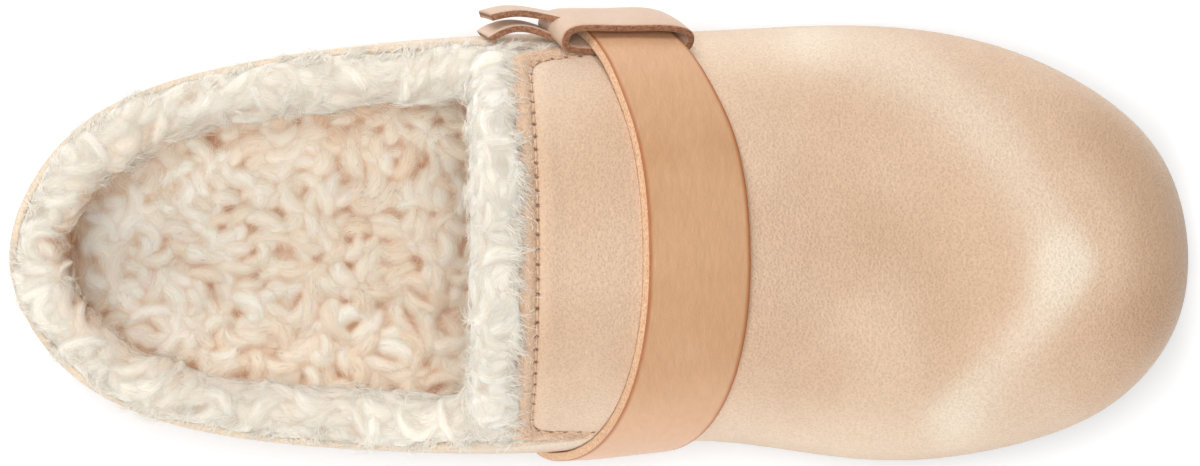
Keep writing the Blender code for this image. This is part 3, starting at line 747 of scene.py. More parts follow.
liningLook = {
    "deep": srgb(214, 178, 146),
    "pale": srgb(240, 228, 210),
    "paleFrom": 0.62,
    "scale": 260,
    "sheen": 0.4,
    "relief": 0.003,
}
makeUpper([makeSuede(), makeFelt("liningPile", liningLook)])


# Stitches along the hem

stitchSizes = {
    "length": 2.5,
    "half": 0.3,
    "rings": 5,
    "corners": 6,
    "bed": -0.55,  # height of the trough that the stitches lie in
    "sink": 0.55,
    "crown": 0.15,
}


def strandShape(paths, sideways, halfWidth, halfThick, tone, corners):
    # tapered strands, closed at both ends: points, faces, lines along them for the finish, and tones
    count, rings = paths.shape[:2]
    onward = unit(np.gradient(paths, axis=1))
    sideways = squareTo(sideways, onward)
    upward = np.cross(onward, sideways)
    turn = 2 * math.pi * np.arange(corners) / corners - 0.5 * math.pi
    across = sideways[:, :, None] * (halfWidth[:, :, None] * np.cos(turn))[..., None]
    above = upward[:, :, None] * (halfThick[:, :, None] * np.sin(turn))[..., None]
    body = (paths[:, :, None] + across + above).reshape(count, rings * corners, 3)
    tips = paths[:, -1:] + onward[:, -1:] * halfThick[:, -1:, None]
    tones = np.concatenate([np.repeat(tone, corners, axis=1), tone[:, -1:]], axis=1)
    faces = []
    places = []
    for ring in range(rings - 1):
        for corner in range(corners):
            ahead = (corner + 1) % corners
            low = ring * corners
            faces.append((low + corner, low + ahead, low + corners + ahead, low + corners + corner))
            places += [(corner, ring), (corner + 1, ring), (corner + 1, ring + 1), (corner, ring + 1)]
    last = (rings - 1) * corners
    for corner in range(corners):
        faces.append((rings * corners, last + corner, last + (corner + 1) % corners))
        places += [(corner + 0.5, rings - 1), (corner, rings - 1), (corner + 1, rings - 1)]
    faces.append(tuple(reversed(range(corners))))
    places += [(corner, 0) for corner in reversed(range(corners))]
    length = np.linalg.norm(np.diff(paths, axis=1), axis=2).sum(axis=1)
    size = np.stack([math.pi * halfWidth.max(axis=1), length], -1)
    apart = 7.31 * np.arange(count)  # no two strands share their lines
    lines = np.array(places, float) / (corners, rings - 1) * size[:, None] + apart[:, None, None]
    perStrand = rings * corners + 1
    allFaces = [[i + strand * perStrand for i in face] for strand in range(count) for face in faces]
    return np.concatenate([body, tips], axis=1).reshape(-1, 3), allFaces, lines.reshape(-1, 2), tones.ravel()


def strandMesh(name, shapes):  # the shapes joined as one mesh
    mesh = bpy.data.meshes.new(name)
    faces = []
    start = 0
    for points, own, _, _ in shapes:
        faces += [[i + start for i in face] for face in own]
        start += len(points)
    points, lines, tones = (np.concatenate([shape[i] for shape in shapes]) for i in (0, 2, 3))
    mesh.from_pydata(toFrame(points).tolist(), [], faces)
    mesh.uv_layers.new(name="strandLines").data.foreach_set("uv", lines.ravel())
    mesh.attributes.new("tone", "FLOAT", "POINT").data.foreach_set("value", tones)
    mesh.shade_smooth()
    return mesh


def makeStitches(material):
    pitch = upperSizes["stitchPitch"]
    starts = np.arange(0.5 * pitch, seamArc[-1] - pitch, pitch)
    share = np.linspace(-0.5, 0.5, stitchSizes["rings"])
    arc = (starts + 0.5 * pitch)[:, None] + share[None] * stitchSizes["length"]
    walk = np.interp(arc.ravel(), seamArc, seamPlaces[:, 0])
    rise = np.interp(arc.ravel(), seamArc, seamPlaces[:, 1])
    out = outward(walk, rise).reshape(*arc.shape, 3)
    points = np.stack([np.interp(arc.ravel(), seamArc, seamLine[:, i]) for i in range(3)], -1)
    points = points.reshape(*arc.shape, 3)
    lift = stitchSizes["bed"] + stitchSizes["crown"] + stitchSizes["half"]
    lift = lift - stitchSizes["sink"] * (2 * share) ** 4
    points = points + out * lift[None, :, None]
    onward = unit(np.gradient(points, axis=1))
    half = np.full(arc.shape, stitchSizes["half"])
    tone = np.tile(0.5, arc.shape)
    shape = strandShape(points, np.cross(onward, out), half, half, tone, stitchSizes["corners"])
    return placePiece("hemStitches", strandMesh("hemStitches", [shape]), [material])


def makeThread():
    look = {"pale": srgb(224, 192, 162), "deep": srgb(188, 148, 116)}
    material, tree, shader = newMaterial("thread", {"Roughness": 0.7})
    lines = addNode(tree, "ShaderNodeUVMap", uv_map="strandLines").outputs[0]
    fibre = placeGroup(tree, fibreGroup, {"Vector": lines, "Line Scale": 3.0, "Stretch": 0.5})
    tone = ramp(tree, fibre.outputs["Line"], (0.3, look["deep"]), (0.6, look["pale"]))
    feed(tree, shader, {"Base Color": tone})
    bumpTo(tree, shader, fibre.outputs["Line"], 0.5, 0.0002)
    return material


makeStitches(makeThread())


# Rubber sole

soleSizes = {
    # along, height of the tread
    "tread": (
        (0.0, 2.6),
        (7.0, 0.0),
        (86.0, 0.0),
        (112.0, 3.0),
        (136.0, 3.0),
        (160.0, 0.0),
        (222.0, 0.0),
        (246.0, 2.4),
        (268.0, 8.0),
    ),
    "bevel": 3.0,
    "topRound": 1.2,
    "groovePitch": 7.5,
    "grooveDepth": 1.1,
    "grooveSpread": 1.0,
    "grooveSway": 2.2,
    "grooveWave": 7.0,
    "grooveEnd": (0.93, 0.85),  # share of the half width over which the grooves run out
    "grooveTop": 1.5,  # none where the tread stands higher
    "sideColumns": 150,
    "fanColumns": 60,
    "treadRows": 14,
    "edgeRows": 6,
    "sideRows": 6,
}


def ringWalks(sideCount, fanCount):
    parts = [np.linspace(i, i + 1, count + 1)[:-1] for i, count in enumerate((sideCount, fanCount) * 2)]
    return np.concatenate([*parts, [4.0]])


def ringPlan(rib, inset, share):
    edge = rib["wide"] + rib["inward"] * inset
    return rib["crown"][:, :2] + (edge - rib["crown"][:, :2]) * share[:, None]


def makeSole(material):
    walks = ringWalks(soleSizes["sideColumns"], soleSizes["fanColumns"])
    bevel = soleSizes["bevel"]
    rounding = soleSizes["topRound"]
    quarter = np.linspace(0, 0.5 * math.pi, soleSizes["edgeRows"] + 1)
    shares = np.linspace(0, 1, soleSizes["treadRows"] + 1)
    rows = [("tread", bevel, share, 0.0) for share in shares[:-1]]
    rows += [("tread", bevel * (1 - math.sin(a)), 1.0, bevel * (1 - math.cos(a))) for a in quarter]
    rows += [("wall", 0.0, 1.0, share) for share in np.linspace(0, 1, soleSizes["sideRows"] + 1)[1:-1]]
    rows += [("top", rounding * (1 - math.cos(a)), 1.0, rounding * (1 - math.sin(a))) for a in quarter]
    rows += [("top", rounding, share, 0.0) for share in np.linspace(1, 0, 5)[1:]]
    kinds = np.array([row[0] for row in rows])
    insets, spans, lifts = np.array([row[1:] for row in rows]).T
    heights = np.array(soleSizes["tread"])

    def place(column, row):
        rib = ribsAt(walks[column])
        plan = ringPlan(rib, rib["soleInset"] + insets[row][:, None], spans[row])
        tread = np.interp(plan[:, 0], heights[:, 0], heights[:, 1])
        top = featherAt(plan[:, 0])
        wave = plan[:, 0] + soleSizes["grooveSway"] * np.sin(plan[:, 1] / soleSizes["grooveWave"])
        groove = np.mod(wave, soleSizes["groovePitch"]) - 0.5 * soleSizes["groovePitch"]
        groove = soleSizes["grooveDepth"] * bell(groove, soleSizes["grooveSpread"])
        end, start = soleSizes["grooveEnd"]
        groove *= np.clip((end - spans[row]) / (end - start), 0, 1) * (tread < soleSizes["grooveTop"])
        low = tread + lifts[row] + groove * (kinds[row] == "tread")
        between = tread + bevel + (top - rounding - tread - bevel) * lifts[row]
        height = np.select([kinds[row] == "tread", kinds[row] == "wall"], [low, between], top - lifts[row])
        return np.concatenate([plan, height[:, None]], 1)

    bm = bmesh.new()
    gridOver(bm, len(walks) - 1, len(rows) - 1, place)
    return finishPiece("rubberSole", bm, [material], ["outsole"])


def makeRubber():
    look = {
        "deep": srgb(92, 73, 62),
        "pale": srgb(104, 84, 72),
        "grain": {"Pebble Scale": 700, "Fleck Scale": 1500, "Drift Scale": 40},
    }
    material, tree, shader = newMaterial("soleRubber", {"Specular IOR Level": 0.35})
    grain = placeGroup(tree, grainGroup, {"Vector": objectPlace(tree), **look["grain"]})
    drift = mapRange(tree, grain.outputs["Drift"], 0.35, 0.7)
    tone = mixColour(tree, drift, look["deep"], look["pale"])
    rough = mapRange(tree, grain.outputs["Fleck"], 0.3, 0.7, 0.62, 0.8)
    feed(tree, shader, {"Base Color": tone, "Roughness": rough})
    bumpTo(tree, shader, grain.outputs["Height"], 0.25, 0.0004)
    return material


makeSole(makeRubber())


# Footbed under the pile

footbedSizes = {
    "inset": 6.0,
    "thick": 6.5,
    "cup": 3.0,
    "lump": 0.35,
    "columns": (70, 36),  # each side, heel and toe
    "underShares": (0.0, 0.5, 0.97),  # of the way from the middle to the edge
    "edgeMargin": 1.5,
    "edgeRows": 5,
    "shoulder": (0.992, 0.5),  # share, drop
    "topShare": 0.975,
    "topRows": 26,
}


def footbedHeight(along, share):
    base = featherAt(along) + lastSizes["fitGap"]
    return base + footbedSizes["thick"] + footbedSizes["cup"] * np.clip(share, 0, 1) ** 3


def makeFootbed(material):
    walks = ringWalks(*footbedSizes["columns"])
    edge = footbedSizes["thick"] + footbedSizes["cup"]
    margin = footbedSizes["edgeMargin"]
    shoulder, drop = footbedSizes["shoulder"]
    rows = [(share, 0.0) for share in footbedSizes["underShares"]]
    rows += [(1.0, lift) for lift in np.linspace(margin, edge - margin, footbedSizes["edgeRows"])]
    rows += [(shoulder, edge - drop)]
    rows += [(share, np.nan) for share in np.linspace(footbedSizes["topShare"], 0, footbedSizes["topRows"])]
    shares, lifts = np.array(rows).T  # no lift where the padded top follows its own height

    def place(column, row):
        rib = ribsAt(walks[column])
        plan = ringPlan(rib, footbedSizes["inset"], shares[row])
        base = featherAt(plan[:, 0]) + lastSizes["fitGap"]
        lumps = np.sin(plan[:, 0] / 2.3 + 1.7 * np.sin(plan[:, 1] / 3.1)) * np.cos(plan[:, 1] / 2.1)
        top = footbedHeight(plan[:, 0], shares[row]) + footbedSizes["lump"] * (lumps - 1)
        return np.concatenate([plan, np.where(np.isnan(lifts[row]), top, base + lifts[row])[:, None]], 1)

    bm = bmesh.new()
    gridOver(bm, len(walks) - 1, len(rows) - 1, place)
    piece = finishPiece("footbed", bm, [material], ["insole"])
    return piece


def makeFleece(name, look):
    values = {"Roughness": 0.95, "Sheen Weight": 0.25, "Sheen Roughness": 0.5, "Specular IOR Level": 0.05}
    values.update({"Subsurface Weight": look["deepness"], "Subsurface Radius": look["scatter"]})
    values.update({"Subsurface Scale": 0.004, "Emission Strength": look["glow"]})
    material, tree, shader = newMaterial(name, values)
    lines = addNode(tree, "ShaderNodeAttribute", attribute_name="pileLines").outputs["Vector"]
    fibre = placeGroup(tree, fibreGroup, {"Vector": lines, "Line Scale": look["lineScale"], "Stretch": 0.1})
    tone = addNode(tree, "ShaderNodeAttribute", attribute_name="tone").outputs["Fac"]
    line = fibre.outputs["Line"]
    streak = mathNode(tree, "MULTIPLY", mathNode(tree, "SUBTRACT", line, 0.5), look["streak"])
    shade = mathNode(tree, "ADD", tone, streak, clamp=True)
    stops = zip((0.0, 0.4, 0.8, 1.0), (look[key] for key in ("gap", "mid", "tip", "bright")))
    colour = ramp(tree, shade, *stops)
    feed(tree, shader, {"Base Color": colour, "Emission Color": colour})
    height = mathNode(tree, "ADD", line, mathNode(tree, "MULTIPLY", fibre.outputs["Clump"], 0.8))
    bumpTo(tree, shader, height, look["relief"], 0.0006)
    return material


feltLook = {
    "deep": srgb(206, 160, 124),
    "pale": srgb(232, 208, 182),
    "paleFrom": 0.66,
    "scale": 330,
    "sheen": 0.3,
    "relief": 0.002,
}
makeFootbed(makeFelt("felt", feltLook))
fleeceLook = {
    "gap": srgb(206, 159, 127),
    "mid": srgb(237, 218, 196),
    "tip": srgb(244, 236, 223),
    "bright": srgb(254, 247, 236),
    "deepness": 0.6,
    "scatter": (1.0, 0.66, 0.46),
    "lineScale": 3.2,
    "streak": 0.5,
    "relief": 0.45,
    "glow": 0.0,  # painted glow: emission in the fibres' own colour, standing in for light that passes through thin fibres
}
whiteLook = {
    **fleeceLook,
    "gap": srgb(204, 160, 124),
    "mid": srgb(230, 214, 195),
    "tip": srgb(224, 218, 206),
    "bright": srgb(241, 234, 222),
    "deepness": 0.85,
    "scatter": (1.0, 0.78, 0.62),
}
# the loose fibres glow faintly: painted light
looseFinish = {"streak": 0.2, "relief": 0.05, "deepness": 0.0, "glow": 0.07}
pileFleece = makeFleece("pileFleece", fleeceLook)
pileFibres = makeFleece("pileFibres", {**fleeceLook, **looseFinish})
rollFleece = makeFleece("rollFleece", whiteLook)
rollFibres = makeFleece("rollFibres", {**whiteLook, **looseFinish})


# Curled pile: curls are laid on a flat patch in millimetres, which is then carried onto the shoe

curlSizes = {
    "points": 9,
    "length": (6.0, 12.0),
    "width": (4.4, 7.4),
    "curl": (0.8, 3.0),
    "stray": 0.5,
    "raise": (1.2, 2.8),
    "soft": 0.9,
    "widths": (0.55, 0.85, 1.0, 1.0, 0.85, 0.5),  # from root to tip
    "crest": (0.5, 0.85, 1.0, 1.0, 0.9, 0.6),
    "tone": 0.6,
    "toneStray": 0.13,
    "rootTone": (0.75, 1.0, 1.0),
    "cover": 0.6,
    "spacing": 4.0,
    "jitter": 0.48,
    "swirl": 9.0,
    "comb": 1.0,  # how far the headings follow the swirls
}
underCurls = {
    **curlSizes,
    "width": (6.0, 9.0),
    "raise": (0.5, 1.1),
    "tone": 0.35,
    "toneStray": 0.12,
    "spacing": 3.6,
}


def jitteredGrid(rng, first, last, spacing, stray):
    counts = [max(int((high - low) / spacing), 1) for low, high in zip(first, last)]
    axes = [low + (np.arange(n) + 0.5) * (high - low) / n for low, high, n in zip(first, last, counts)]
    spots = np.stack(np.meshgrid(*axes, indexing="ij"), -1).reshape(-1, 2)
    return spots + rng.uniform(-stray, stray, spots.shape) * spacing


def newPatch(first, last, cell, gapTone):
    axes = [np.linspace(low, high, round((high - low) / cell) + 1) for low, high in zip(first, last)]
    places = np.stack(np.meshgrid(*axes, indexing="ij"), -1)
    empty = np.zeros(places.shape[:2])
    gaps = gapTone(places)
    return {
        "axes": axes,
        "places": places,
        "raise": empty.copy(),
        "angle": empty.copy(),
        "gap": gaps,
        "tone": gaps.copy(),
        "lines": np.concatenate([places, empty[..., None]], -1),
    }


def shareOf(share, values):
    return np.interp(share, np.linspace(0, 1, len(values)), values)


def swirl(points, size):
    x, y = points[..., 0] / size, points[..., 1] / size
    return 3.1 * np.sin(x + 1.3 * np.sin(0.9 * y)) + 2.7 * np.cos(1.15 * y + 0.8 * np.sin(1.3 * x))


def layCurl(patch, path, half, height, tone, look, seed):  # the highest curl wins at each place
    window = tuple(
        slice(*np.searchsorted(axis, (path[:, i].min() - half, path[:, i].max() + half)))
        for i, axis in enumerate(patch["axes"])
    )
    here = patch["places"][window]
    if not here.size:
        return
    legs = np.diff(path, axis=0)
    fromStart = here[:, :, None] - path[:-1]
    onLeg = np.clip((fromStart * legs).sum(-1) / (legs**2).sum(-1), 0, 1)
    aside = fromStart - onLeg[..., None] * legs
    away = np.linalg.norm(aside, axis=-1)
    leg = away.argmin(-1)

    def nearest(values):
        return np.take_along_axis(values, leg[..., None], -1)[..., 0]

    share = (leg + nearest(onLeg)) / len(legs)
    side = nearest(legs[:, 0] * aside[..., 1] - legs[:, 1] * aside[..., 0])
    distance = nearest(away)
    body = np.clip(1 - (distance / (half * shareOf(share, look["widths"]))) ** 2, 0, 1)
    raised = height * shareOf(share, look["crest"]) * body ** look["soft"]
    wins = raised > patch["raise"][window]
    # towards its edges and root a curl's tone falls to the gap's tan: painted shade on its flanks, partly the
    # tan backing
    covered = body ** look["cover"] * shareOf(share, look["rootTone"])
    shade = patch["gap"][window] + (tone - patch["gap"][window]) * covered
    length = np.linalg.norm(legs, axis=1).sum()
    lines = np.stack([np.sign(side) * distance, share * length, np.full(share.shape, seed * 3.7)], -1)
    patch["raise"][window] = np.where(wins, raised, patch["raise"][window])
    patch["tone"][window] = np.where(wins, shade, patch["tone"][window])
    patch["angle"][window] = np.where(wins, np.arctan2(legs[leg, 1], legs[leg, 0]), patch["angle"][window])
    patch["lines"][window] = np.where(wins[..., None], lines, patch["lines"][window])


def layCurls(patch, rng, first, last, look, shade):
    spots = jitteredGrid(rng, first, last, look["spacing"], look["jitter"])
    count = len(spots)
    share = np.linspace(-0.5, 0.5, look["points"])
    length = rng.uniform(*look["length"], count)
    half = 0.5 * rng.uniform(*look["width"], count)
    curl = rng.uniform(*look["curl"], count) * rng.choice([-1, 1], count)
    heading = look["comb"] * swirl(spots, look["swirl"]) + rng.normal(0, look["stray"], count)
    turn = heading[:, None] + curl[:, None] * share
    steps = np.stack([np.cos(turn), np.sin(turn)], -1)[:, 1:] * (length / (look["points"] - 1))[:, None, None]
    paths = np.concatenate([np.zeros((count, 1, 2)), np.cumsum(steps, axis=1)], axis=1)
    paths += spots[:, None] - paths.mean(axis=1, keepdims=True)
    heights = rng.uniform(*look["raise"], count)
    tones = rng.normal(look["tone"], look["toneStray"], count) + shade(spots)
    for i in range(count):
        layCurl(patch, paths[i], half[i], heights[i], tones[i], look, i)


def soften(values, times=1):  # a little blur over the neighbours
    for _ in range(times):
        for axis in (0, 1):
            ahead, behind = np.roll(values, 1, axis), np.roll(values, -1, axis)
            values = 0.5 * values + 0.25 * (ahead + behind)
    return values


creaseSizes = {"around": 24, "soft": 2, "depths": (0.12, 0.72)}


def settle(patch, crease):  # soft heights, and a deeper tone in the creases between curls: painted shade, partly the tan backing showing through
    raised = soften(patch["raise"], creaseSizes["soft"])
    dip = np.interp(soften(patch["raise"], creaseSizes["around"]) - raised, creaseSizes["depths"], (0, 1))
    patch["tone"] = soften(patch["tone"] - crease * dip, creaseSizes["soft"])
    return raised.ravel()


def pileLayers(bm):
    return bm.verts.layers.float_vector.new("pileLines"), bm.verts.layers.float.new("tone")


# Loose fibres

looseSizes = {
    "rings": 4,
    "length": (2.0, 4.5),
    "width": (0.07, 0.13),
    "curl": (0.4, 2.2),
    "stand": (5, 45),
    "dip": (-10, 35),
    "stray": 0.35,
    "taper": (0.8, 1.0, 0.9, 0.6, 0.25),
    "toneRaise": 0.05,
    "toneStray": 0.08,
    "together": 1,
    "over": 0.0,  # leaning round the roll, minus towards the suede
}


def makeLoose(name, seed, groups, material):  # groups of spots, normals, headings, tones and look
    rng = np.random.default_rng(seed)
    shapes = []
    for spots, normals, headings, tones, look in groups:
        count = len(spots)
        ahead = squareTo(headings, normals)
        beside = np.cross(normals, ahead)
        share = np.linspace(0, 1, look["rings"])
        curl = rng.uniform(*look["curl"], count) * rng.choice([-1, 1], count)
        stand, dip = (np.radians(rng.uniform(*look[key], count))[:, None] for key in ("stand", "dip"))
        turn = rng.normal(0, look["stray"], count)[:, None] + curl[:, None] * share
        lean = stand * (1 - share) - dip * share
        flat = np.cos(turn)[..., None] * ahead[:, None] + np.sin(turn)[..., None] * beside[:, None]
        way = np.cos(lean)[..., None] * flat + np.sin(lean)[..., None] * normals[:, None]
        step = way[:, :-1] * (rng.uniform(*look["length"], count) / (look["rings"] - 1))[:, None, None]
        paths = spots[:, None] + np.concatenate([np.zeros((count, 1, 3)), np.cumsum(step, axis=1)], axis=1)
        sideways = -np.sin(turn)[..., None] * ahead[:, None] + np.cos(turn)[..., None] * beside[:, None]
        half = 0.5 * rng.uniform(*look["width"], count)[:, None] * shareOf(share, look["taper"])
        tone = np.repeat((tones + rng.normal(0, look["toneStray"], count))[:, None], look["rings"], axis=1)
        shapes.append(strandShape(paths, sideways, half, half, tone, 3))
    return placePiece(name, strandMesh(name, shapes), [material])


def footbedShare(points):
    across = ridgeCurve(np.maximum(points[:, 0], heelHub))[:, 1]
    side = np.where(points[:, 1] > across, 1, -1)
    halves = {s: np.abs(sideWide(s, points[:, 0])[:, 1] - across) for s in (1, -1)}
    half = np.where(side > 0, halves[1], halves[-1]) - footbedSizes["inset"]
    share = np.abs(points[:, 1] - across) / half
    hub = np.array([heelHub, ridgeCurve(heelHub)[1]])
    away = points - hub
    wide = fanWide(heelHub, np.arctan2(away[:, 1], away[:, 0]))[:, :2]
    reach = np.linalg.norm(wide - hub, axis=1) - footbedSizes["inset"]
    return np.where(points[:, 0] < heelHub, np.linalg.norm(away, axis=1) / reach, share)


pileSizes = {
    "first": (5.0, -43.0),
    "last": (136.0, 45.0),
    "cell": 0.42,
    "edge": 0.97,
    "sink": 0.6,
    "bank": (7.0, 2.5),  # how far the pile climbs the wall, at the heel and beside the arch
    "bankStart": 0.66,
    "heelPile": 2.5,  # deeper pile under the heel
    "bankAlong": (35.0, 75.0),
    "skirt": 13.0,
    "faceOrder": (1.0, 0.0137, 0.00071),
    "crease": 0.5,
    "gapTone": 0.12,
    "paler": (0.42, 0.05),  # painted light, at the heel and beside the arch
    "palerAlong": (25.0, 65.0),
    "deeper": (1.0, 0.3),  # painted shade where the pile meets the wall
    "deeperAlong": (30.0, 60.0),
    "deeperShare": (0.68, 0.88),
    "loose": 6000,
    "looseShare": 0.93,
    "looseRaise": 0.7,
}


def makeFootbedPile():
    rng = np.random.default_rng(11)
    first, last = pileSizes["first"], pileSizes["last"]

    def gapTone(places):
        return np.full(places.shape[:2], pileSizes["gapTone"])

    def shade(spots):  # painted shade where the pile meets the wall, most of all at the heel, and painted light over the heel end
        paler = np.interp(spots[:, 0], pileSizes["palerAlong"], pileSizes["paler"])
        deeper = np.interp(spots[:, 0], pileSizes["deeperAlong"], pileSizes["deeper"])
        return paler - deeper * np.interp(footbedShare(spots), pileSizes["deeperShare"], (0, 1))

    patch = newPatch(first, last, pileSizes["cell"], gapTone)
    for look in (underCurls, curlSizes):
        layCurls(patch, rng, first, last, look, shade)
    raised = settle(patch, pileSizes["crease"])
    plan = patch["places"].reshape(-1, 2)
    share = footbedShare(plan)
    start = pileSizes["bankStart"]
    climb = np.clip((share - start) / (pileSizes["edge"] - start), 0, 1) ** 2
    climb = climb * np.interp(plan[:, 0], pileSizes["bankAlong"], pileSizes["bank"])
    deep = np.interp(plan[:, 0], pileSizes["bankAlong"], (pileSizes["heelPile"], 0))
    height = footbedHeight(plan[:, 0], share) - pileSizes["sink"] + raised + climb + deep
    points = np.concatenate([plan, height[:, None]], 1)
    columns, rows = (len(axis) - 1 for axis in patch["axes"])
    lines, tones = patch["lines"].reshape(-1, 3), patch["tone"].ravel()

    def place(column, row):
        i = column * (rows + 1) + row
        return points[i], lines[i], tones[i]

    bm = bmesh.new()
    made, column, row = gridOver(bm, columns, rows, place, pileLayers(bm))
    outside = [vert for vert, i in zip(made, column * (rows + 1) + row) if share[i] > pileSizes["edge"]]
    bmesh.ops.delete(bm, geom=outside, context="VERTS")
    rim = [e for e in bm.edges if e.is_boundary]
    skirt = bmesh.ops.extrude_edge_only(bm, edges=rim)["geom"]
    for vert in (v for v in skirt if isinstance(v, bmesh.types.BMVert)):
        vert.co.z -= pileSizes["skirt"] * 0.001
    closeEnds(bm)
    # extruding leaves its faces in no fixed order
    bm.faces.sort(key=lambda face: np.dot(face.calc_center_median(), pileSizes["faceOrder"]))
    finishPiece("footbedPile", bm, [pileFleece])
    inside = np.where((share < pileSizes["looseShare"]) & (raised > pileSizes["looseRaise"]))[0]
    chosen = rng.choice(inside, pileSizes["loose"], replace=False)
    angle = patch["angle"].ravel()[chosen]
    headings = np.stack([np.cos(angle), np.sin(angle), np.zeros(len(angle))], -1)
    normals = np.tile((0.0, 0.0, 1.0), (len(chosen), 1))
    groups = [(points[chosen], normals, headings, tones[chosen] + looseSizes["toneRaise"], looseSizes)]
    makeLoose("footbedLoose", 12, groups, pileFibres)


makeFootbedPile()

hemFibres = {
    **looseSizes,
    "length": (1.0, 2.4),
    "curl": (0.5, 2.5),
    "stand": (0, 30),
    "dip": (0, 45),
    "stray": 1.2,
    "count": 3600,
    "reach": (0.3, 3.8),  # from the stitches towards the fold
    "sink": 0.15,
    "tones": (0.35, 1.0),
    "headingStray": 0.8,
    "ends": 10,  # places of the seam left free
}


def makeHemFibres(material):  # worn nap between the stitches and the folded edge
    rng = np.random.default_rng(17)
    count = hemFibres["count"]
    chosen = rng.integers(hemFibres["ends"], len(seamPlaces) - hemFibres["ends"], count)
    out = outward(seamPlaces[chosen, 0], seamPlaces[chosen, 1])
    onward = unit(seamLine[chosen + 1] - seamLine[chosen - 1])
    toEdge = np.cross(onward, out)
    edge = edgeLine[nearestIn(edgeTree, seamLine[chosen])[0]]
    toEdge *= np.sign(((edge - seamLine[chosen]) * toEdge).sum(-1))[:, None]
    away = rng.uniform(*hemFibres["reach"], count)
    fold, spread, raised = upperSizes["hem"][0]
    lifts = raised * bell(away - (upperSizes["stitchLine"] - fold), spread) - hemFibres["sink"]
    spots = seamLine[chosen] + toEdge * away[:, None] + out * lifts[:, None]
    tones = rng.uniform(*hemFibres["tones"], count)
    headings = toEdge + onward * rng.normal(0, hemFibres["headingStray"], count)[:, None]
    makeLoose("hemFibres", 18, [(spots, out, headings, tones, hemFibres)], material)


suedeFibres = {
    **fleeceLook,
    **looseFinish,
    "gap": srgb(200, 158, 125),
    "mid": srgb(224, 189, 158),
    "tip": srgb(238, 211, 184),
}
makeHemFibres(makeFleece("looseSuede", suedeFibres))


# Fleece rolled over the collar

rollSizes = {
    # middle inward, middle beyond the edge, half inward, half beyond, wall inward, wall depth, half the wall
    "heel": (7.0, 0.5, 5.1, 4.6, 5.0, 17.0, 2.4),
    "side": (7.0, 0.5, 5.1, 4.6, 5.0, 15.0, 2.4),
    "sideEnd": (6.6, 0.0, 3.8, 4.6, 5.2, 13.0, 2.2),
    "throat": (3.0, 4.5, 4.2, 4.8, 5.0, 13.0, 2.2),
    "shoulder": (4.0, 4.2, 4.2, 4.6, 5.2, 9.0, 2.2),
    "sideEndAlong": 128.0,
    "stations": (118.0, 107.0, 96.0, 85.0, 73.0, 62.0, 51.0),
    "heelAngles": (258, 102),
    "heelStations": 12,
    "endShares": (0.35, 0.65),  # of the way from the notch up to the shoulder
    "shoulderShares": (0.0, 0.15, 0.32, 0.49, 0.66, 0.83),
    "shoulderEnd": 0.2,
    "endRound": 6.0,
    "arcEnd": -50,
    "core": 0.96,  # the valleys of the pile lie inside the roll by this share
    "cell": 0.45,
    "girth": 4.6,
    "wallDepth": 9.0,
    "margin": 3.0,  # between the locks and the roll's edge, and of the wall's curls over the roll
    "overlap": 1.0,
    "footSink": 0.3,
}


def collarPoints(walk, rise, sections, upright):
    walk, rise = np.array(walk, float), np.array(rise, float)
    inward = -outward(walk, rise) * (1, 1, 0 if upright else 1)
    return np.concatenate([skin(walk, rise), inward, np.array(sections, float)], 1)


def backCollar():
    end = rollSizes["sideEndAlong"]
    inner = [float(walkOf(-1, x)) for x in (end, *rollSizes["stations"])]
    angles = np.linspace(*rollSizes["heelAngles"], rollSizes["heelStations"])
    heel = [3 + (math.radians(a) - 0.5 * math.pi) / math.pi for a in angles]
    outer = [float(walkOf(1, x)) for x in (*reversed(rollSizes["stations"]), end)]
    walks = np.array(inner + heel + outer)
    side = [rollSizes["side"]] * len(rollSizes["stations"])
    sections = [rollSizes["sideEnd"], *side, *[rollSizes["heel"]] * len(heel), *side, rollSizes["sideEnd"]]
    return openCurve(collarPoints(walks, rimRise(walks), sections, True))


def throatCollar():
    walks, rises, sections = [], [], []
    below = [share - 1 for share in rollSizes["endShares"]]  # minus below the shoulder
    shares = (*below, *rollSizes["shoulderShares"])
    for side, share in [*((1, s) for s in shares), (1, 1.0), *((-1, s) for s in reversed(shares))]:
        shoulder = shoulderRise[side]
        rise = shoulder + (1 - shoulder if share > 0 else shoulder - notchRise) * share
        rises.append(rise)
        walks.append(float(walkOf(side, vampEdge(side, np.array(rise)))))
        sections.append(rollSizes["shoulder" if share < rollSizes["shoulderEnd"] else "throat"])
    return openCurve(collarPoints(walks, rises, sections, False))


def rollFrame(path, share):
    share = 0.001 + 0.998 * np.clip(share, 0, 1)
    here = path(share)
    onward = unit(path(share + 1e-4)[:, :3] - path(share - 1e-4)[:, :3])
    inward = squareTo(here[:, 3:6], onward)
    return here[:, :3], onward, inward, np.cross(inward, onward), here[:, 6:]


def rollLength(path):
    line = path(np.linspace(0, 1, 200))[:, :3]
    return np.linalg.norm(np.diff(line, axis=0), axis=1).sum()


